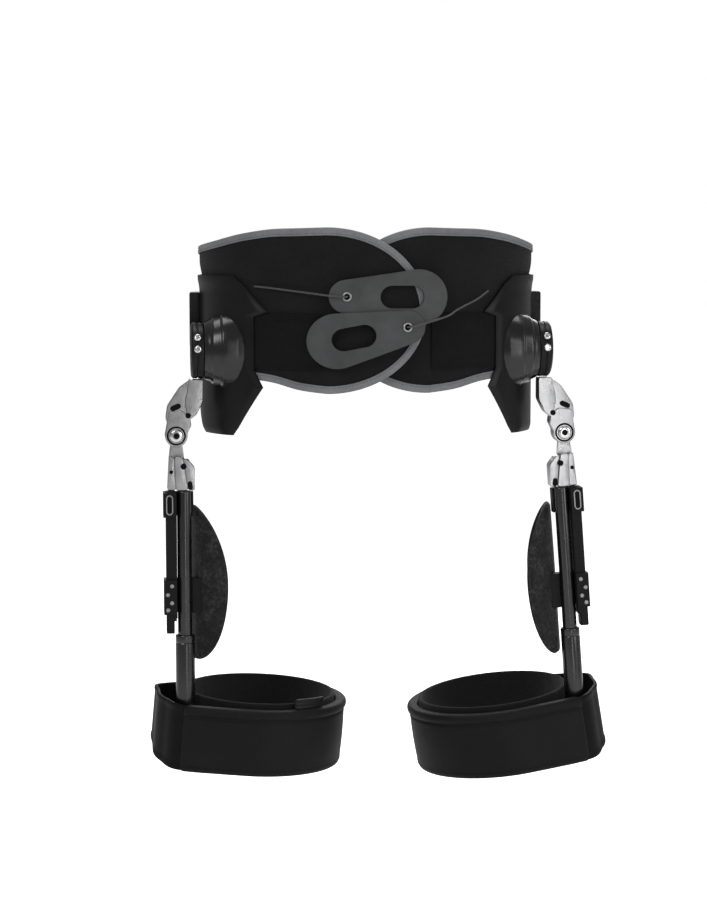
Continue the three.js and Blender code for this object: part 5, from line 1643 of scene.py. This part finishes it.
class HIPORTHOSIS_OT_stage(PieceOperator, bpy.types.Operator):
    """Camera, soft studio lights and a plain pale floor"""

    bl_idname = "hip_orthosis.stage"
    bl_label = "Stage"

    def execute(self, context):
        sizes = context.scene.hip_orthosis
        turn, rise = sizes.camera_turn, sizes.camera_rise
        back = Vector((np.sin(turn) * np.cos(rise), -np.cos(turn) * np.cos(rise), np.sin(rise)))
        aim = Vector((0, 0, sizes.camera_aim))
        camera = bpy.data.objects.new("Camera", bpy.data.cameras.new("Camera"))
        camera.location = aim + back * sizes.camera_distance
        camera.rotation_euler = (-back).to_track_quat("-Z", "Y").to_euler()
        picture_metres = PICTURE_HEIGHT / PIXELS_PER_METRE
        camera.data.lens = camera.data.sensor_width * sizes.camera_distance / picture_metres
        camera.data.shift_x = (PICTURE_WIDTH / 2 - AIM_PIXEL[0]) / PICTURE_HEIGHT
        camera.data.shift_y = (AIM_PIXEL[1] - PICTURE_HEIGHT / 2) / PICTURE_HEIGHT
        context.scene.collection.objects.link(camera)
        context.scene.camera = camera
        self.add_lights(context)
        self.add_floor(context, sizes.floor_height)
        return {"FINISHED"}

    def add_lights(self, context):
        """Area lights aimed at the middle of the object: a place, a size and a power each."""
        lamps = {
            "Key": ((-1.3, -1.6, 1.5), (1.0, 1.0), 26),
            "Fill": ((1.7, -1.5, 0.5), (0.7, 1.6), 18),
            "Strip": ((0.45, -2.2, 0.2), (0.18, 1.6), 7),
            "Top": ((0.0, 0.3, 1.8), (1.6, 1.0), 22),
            "Back": ((0.4, 1.9, 0.8), (1.4, 1.2), 16),
        }
        for name, (place, size, power) in lamps.items():
            data = bpy.data.lights.new(name, "AREA")
            data.shape = "RECTANGLE"
            data.size, data.size_y = size
            data.energy = power
            lamp = bpy.data.objects.new(name, data)
            lamp.location = place
            lamp.rotation_euler = (Vector((0, 0, -0.12)) - Vector(place)).to_track_quat("-Z", "Y").to_euler()
            context.scene.collection.objects.link(lamp)
        world = bpy.data.worlds.new("Studio")
        world.use_nodes = True
        tree = world.node_tree
        light = tree.nodes["Background"]
        light.inputs[0].default_value = (1.0, 1.0, 1.0, 1.0)
        light.inputs[1].default_value = 0.32
        paper = tree.nodes.new("ShaderNodeBackground")
        paper.inputs[0].default_value = (1.0, 1.0, 1.0, 1.0)
        mixed = tree.nodes.new("ShaderNodeMixShader")
        seen = tree.nodes.new("ShaderNodeLightPath")
        tree.links.new(seen.outputs["Is Camera Ray"], mixed.inputs[0])
        tree.links.new(light.outputs[0], mixed.inputs[1])
        tree.links.new(paper.outputs[0], mixed.inputs[2])
        tree.links.new(mixed.outputs[0], tree.nodes["World Output"].inputs[0])
        context.scene.world = world
        context.scene.view_settings.view_transform = "Standard"

    def add_floor(self, context, height):
        points = np.array([(-9, -9, height), (9, -9, height), (9, 9, height), (-9, 9, height)])
        floor = mesh_object("floor", Shape(points, [[0, 1, 2, 3]], points[:, :2]))
        material, tree, shader = blank_material("Floor", 0.8)
        shader.inputs["Base Color"].default_value = (0.92, 0.92, 0.92, 1)
        shader.inputs["Emission Color"].default_value = (1, 1, 1, 1)
        seen = tree.nodes.new("ShaderNodeLightPath").outputs["Is Camera Ray"]
        tree.links.new(math_node(tree, "MULTIPLY_ADD", seen, 0.6, 0.15), shader.inputs["Emission Strength"])
        floor.data.materials.append(material)


class HIPORTHOSIS_OT_belt(PieceOperator, bpy.types.Operator):
    """Padded front panels, their edge binding and the padded back"""

    bl_idname = "hip_orthosis.belt"
    bl_label = "Belt"

    def execute(self, context):
        for side in SIDES:
            is_upper = side == "right"
            angle, lift, bottom, top = panel_rows(is_upper)
            panel = wall_on_waist(angle, lift, bottom, top, PANEL_OUT, 0.0012, 36)
            made = mesh_object("belt_panel_cloth_" + side, panel, side)
            placed(made, finish_of("belt_cloth"), "root", "belt_panel_" + side)
            tape, seam, normal = edge_binding(is_upper)
            made = mesh_object("binding_tape_" + side, tape, side)
            placed(made, finish_of("edge_trim"), "root", "binding_" + side, 60)
            stitches = stitched(seam, normal, 0.0034, 0.0025, 0.00026)
            made = mesh_object("binding_stitches_" + side, stitches, side)
            placed(made, finish_of("stitch"), "root", None, with_replace=False)
        self.back(context)
        return {"FINISHED"}

    def back(self, context):
        start = PANEL_BACK + 0.0003 / WAIST_HALF_DEPTH
        angle = np.linspace(start, FULL - start, 150)
        bottom = np.full(150, BELT_MIDDLE - TONGUE_RADIUS * PANEL_EDGE["bottom"][-1])
        top = np.full(150, BELT_MIDDLE + TONGUE_RADIUS * PANEL_EDGE["top"][-1])
        pad = wall_on_waist(angle, np.zeros(150), bottom, top, 0.0031, 0.0028, 30)
        made = swollen(mesh_object("belt_back_pad", pad), 0.004, 4.0, 0.0006)
        points = coordinates(made)
        turn = np.arctan2(points[:, 0] / WAIST_HALF_WIDTH, -points[:, 1] / WAIST_HALF_DEPTH) % FULL
        pressed = quilted(Shape(points, [], np.zeros((0, 2))), lambda _: turn, 0.0022, np.radians(20))
        made.data.vertices.foreach_set("co", pressed.points.astype(np.float32).ravel())
        surfaced(made, np.stack([turn * 0.14, points[:, 2]], -1))
        placed(made, finish_of("belt_cloth"), "root", "belt_back", 80)


def surfaced(made, places):
    """Gives a mesh surface coordinates from one pair for each vertex."""
    layer = made.data.uv_layers.new(name="Surface") if not made.data.uv_layers else made.data.uv_layers[0]
    corner = np.empty(len(made.data.loops), np.int32)
    made.data.loops.foreach_get("vertex_index", corner)
    layer.data.foreach_set("uv", places[corner].astype(np.float32).ravel())


class HIPORTHOSIS_OT_straps(PieceOperator, bpy.types.Operator):
    """Front straps, pull tabs, eyelets and pull cords"""

    bl_idname = "hip_orthosis.straps"
    bl_label = "Straps and pull tabs"

    def execute(self, context):
        for side in SIDES:
            made = mesh_object("front_web_" + side, front_strap(side == "right", STRAP_ENDS[side]), side)
            placed(made, finish_of("strap_web"), "root", "front_strap_" + side, 60)
            made = mesh_object("cord_" + side, pull_cord(side))
            placed(made, finish_of("pull_cord"), "root", "pull_cord_" + side, 80)
        for kind in TAB_PLACES:
            made = pull_tab(kind)
            placed(made, finish_of("tab_plastic"), "root", "pull_tab_" + kind, 35)
            made = mesh_object("ring_" + kind, eyelet(kind))
            placed(made, finish_of("dull_ring"), "root", "eyelet_" + kind, 60)
        return {"FINISHED"}


class HIPORTHOSIS_OT_hip_plates(PieceOperator, bpy.types.Operator):
    """Moulded hip plates with their domes, and the keepers on their sides"""

    bl_idname = "hip_orthosis.hip_plates"
    bl_label = "Hip plates"

    def execute(self, context):
        for side in SIDES:
            made = mesh_object("hip_shell_" + side, plate_sheet(), side)
            placed(made, finish_of("moulded_black"), "root", "hip_plate_" + side, 30)
            made = mesh_object("hip_dome_" + side, dome(), side)
            placed(made, finish_of("dome"), "root", None, 30, with_replace=False)
            made = mesh_object("keeper_block_" + side, keeper_block(), side)
            placed(made, finish_of("moulded_black"), "root", "keeper_" + side, 50)
        return {"FINISHED"}


class HIPORTHOSIS_OT_hinges(PieceOperator, bpy.types.Operator):
    """Flexion hinges with their stop screws, pivot links and pins"""

    bl_idname = "hip_orthosis.hinges"
    bl_label = "Hinges and links"

    def execute(self, context):
        for side in SIDES:
            body = "swing_" + side
            made = mesh_object("hinge_" + side, hinge_disc(), side)
            placed(made, finish_of("moulded_black"), body, "hinge_disc_" + side, 30)
            for kind, above in (("upper", 29), ("lower", 5)):
                made = mesh_object(f"stop_{kind}_{side}", stop_screw(above), side)
                placed(made, finish_of("small_steel"), body, f"stop_screw_{kind}_{side}", 35)
            made = mesh_object("fork_" + side, fork_link(), side)
            placed(made, finish_of("link_steel"), body, "upper_link_" + side, 30)
            made = mesh_object("fork_screws_" + side, fork_screws(), side)
            placed(made, finish_of("dark_screw"), body, None, 40, with_replace=False)
            made = mesh_object("pivot_" + side, pivot_pin(), side)
            placed(made, finish_of("small_steel"), body, "abduction_pin_" + side, 35)
            made = mesh_object("shank_" + side, shank_link(), side, True)
            placed(made, finish_of("link_steel"), "thigh_" + side, "lower_link_" + side, 30)
            made = mesh_object("shank_screws_" + side, shank_screws(), side, True)
            placed(made, finish_of("dark_screw"), "thigh_" + side, None, 40, with_replace=False)
        return {"FINISHED"}


class HIPORTHOSIS_OT_uprights(PieceOperator, bpy.types.Operator):
    """Rods, outer bars, their blocks and screws, and the sliding tubes"""

    bl_idname = "hip_orthosis.uprights"
    bl_label = "Uprights"

    def execute(self, context):
        for side in SIDES:
            body = "thigh_" + side
            made = mesh_object("round_rod_" + side, upright_rod(), side, True)
            placed(made, finish_of("black_tube"), body, "rod_" + side, 40)
            made = mesh_object("slide_" + side, slide_tube(), side, True)
            placed(made, finish_of("black_tube"), "cuff_" + side, "tube_" + side, 40)
            made = from_node("flat_bar_" + side, "outer_bar_" + side)
            made = bevelled(with_shape(made, bar_web(), side, True), 0.0012)
            placed(made, finish_of("black_bar"), body, "outer_bar_" + side, 30)
            for node in ("bar_latch_", "pad_clamp_"):
                made = bevelled(from_node(node + "block_" + side, node + side), 0.001)
                placed(made, finish_of("black_bar"), body, node + side, 30)
            made = mesh_object("block_details_" + side, block_details(), side, True)
            placed(made, finish_of("dull_ring"), body, None, 40, with_replace=False)
            made = mesh_object("block_slot_" + side, block_slot(), side, True)
            placed(made, finish_of("dark_screw"), body, None, 40, with_replace=False)
        return {"FINISHED"}


class HIPORTHOSIS_OT_thigh_pads(PieceOperator, bpy.types.Operator):
    """Swollen thigh pads with piping"""

    bl_idname = "hip_orthosis.thigh_pads"
    bl_label = "Thigh pads"

    def execute(self, context):
        pad = swollen(mesh_object("thigh_cushion_left", thigh_pad_form(0.9)), 0.003, 4.0, 0.0012)
        copy = bpy.data.objects.new("thigh_cushion_right", pad.data.copy())
        context.scene.collection.objects.link(copy)
        for side, made in (("left", pad), ("right", copy)):
            moved_to_side(made, side)
            with_shape(made, thigh_pad_trim(), side, True)
            placed(made, finish_of("pad_mesh"), "thigh_" + side, "thigh_pad_" + side, 80)
        return {"FINISHED"}


class HIPORTHOSIS_OT_cuffs(PieceOperator, bpy.types.Operator):
    """Padded thigh bands, their linings, outer shells and the small tab"""

    bl_idname = "hip_orthosis.cuffs"
    bl_label = "Thigh cuffs"

    def execute(self, context):
        for side in SIDES:
            body = "cuff_" + side
            band, seams = cuff_band()
            made = mesh_object("band_" + side, band, side, True)
            placed(made, finish_of("cuff_cloth"), body, "cuff_band_" + side, 60)
            made = mesh_object("band_stitches_" + side, seams, side, True)
            placed(made, finish_of("dark_stitch"), body, None, with_replace=False)
            made = mesh_object("lining_" + side, cuff_liner(), side, True)
            placed(made, finish_of("liner_cloth"), body, "cuff_liner_" + side, 60)
            made = mesh_object("outer_shell_" + side, cuff_shell(), side, True)
            placed(made, finish_of("cuff_shell"), body, "cuff_shell_" + side, 50)
        made = mesh_object("small_tab_right", cuff_tab(), "right", True)
        placed(made, finish_of("moulded_black"), "cuff_right", "cuff_tab_right", 40)
        return {"FINISHED"}


OPERATORS = (
    HIPORTHOSIS_OT_stage,
    HIPORTHOSIS_OT_belt,
    HIPORTHOSIS_OT_straps,
    HIPORTHOSIS_OT_hip_plates,
    HIPORTHOSIS_OT_hinges,
    HIPORTHOSIS_OT_uprights,
    HIPORTHOSIS_OT_thigh_pads,
    HIPORTHOSIS_OT_cuffs,
)


class HIPORTHOSIS_PT_panel(bpy.types.Panel):
    """Lists the settings and the steps that build the orthosis"""

    bl_label = "Hip orthosis"
    bl_idname = "HIPORTHOSIS_PT_panel"
    bl_space_type = "VIEW_3D"
    bl_region_type = "UI"
    bl_category = "Hip orthosis"

    def draw(self, context):
        for name in HipOrthosisSettings.__annotations__:
            self.layout.prop(context.scene.hip_orthosis, name)
        for operator in OPERATORS:
            self.layout.operator(operator.bl_idname)


CLASSES = (HipOrthosisSettings, *OPERATORS, HIPORTHOSIS_PT_panel)


def register():
    for made in CLASSES:
        bpy.utils.register_class(made)
    bpy.types.Scene.hip_orthosis = PointerProperty(type=HipOrthosisSettings)


def unregister():
    del bpy.types.Scene.hip_orthosis
    for made in reversed(CLASSES):
        bpy.utils.unregister_class(made)


def main():
    register()
    for operator in OPERATORS:
        group, name = operator.bl_idname.split(".")
        getattr(getattr(bpy.ops, group), name)()


if __name__ == "__main__":
    main()
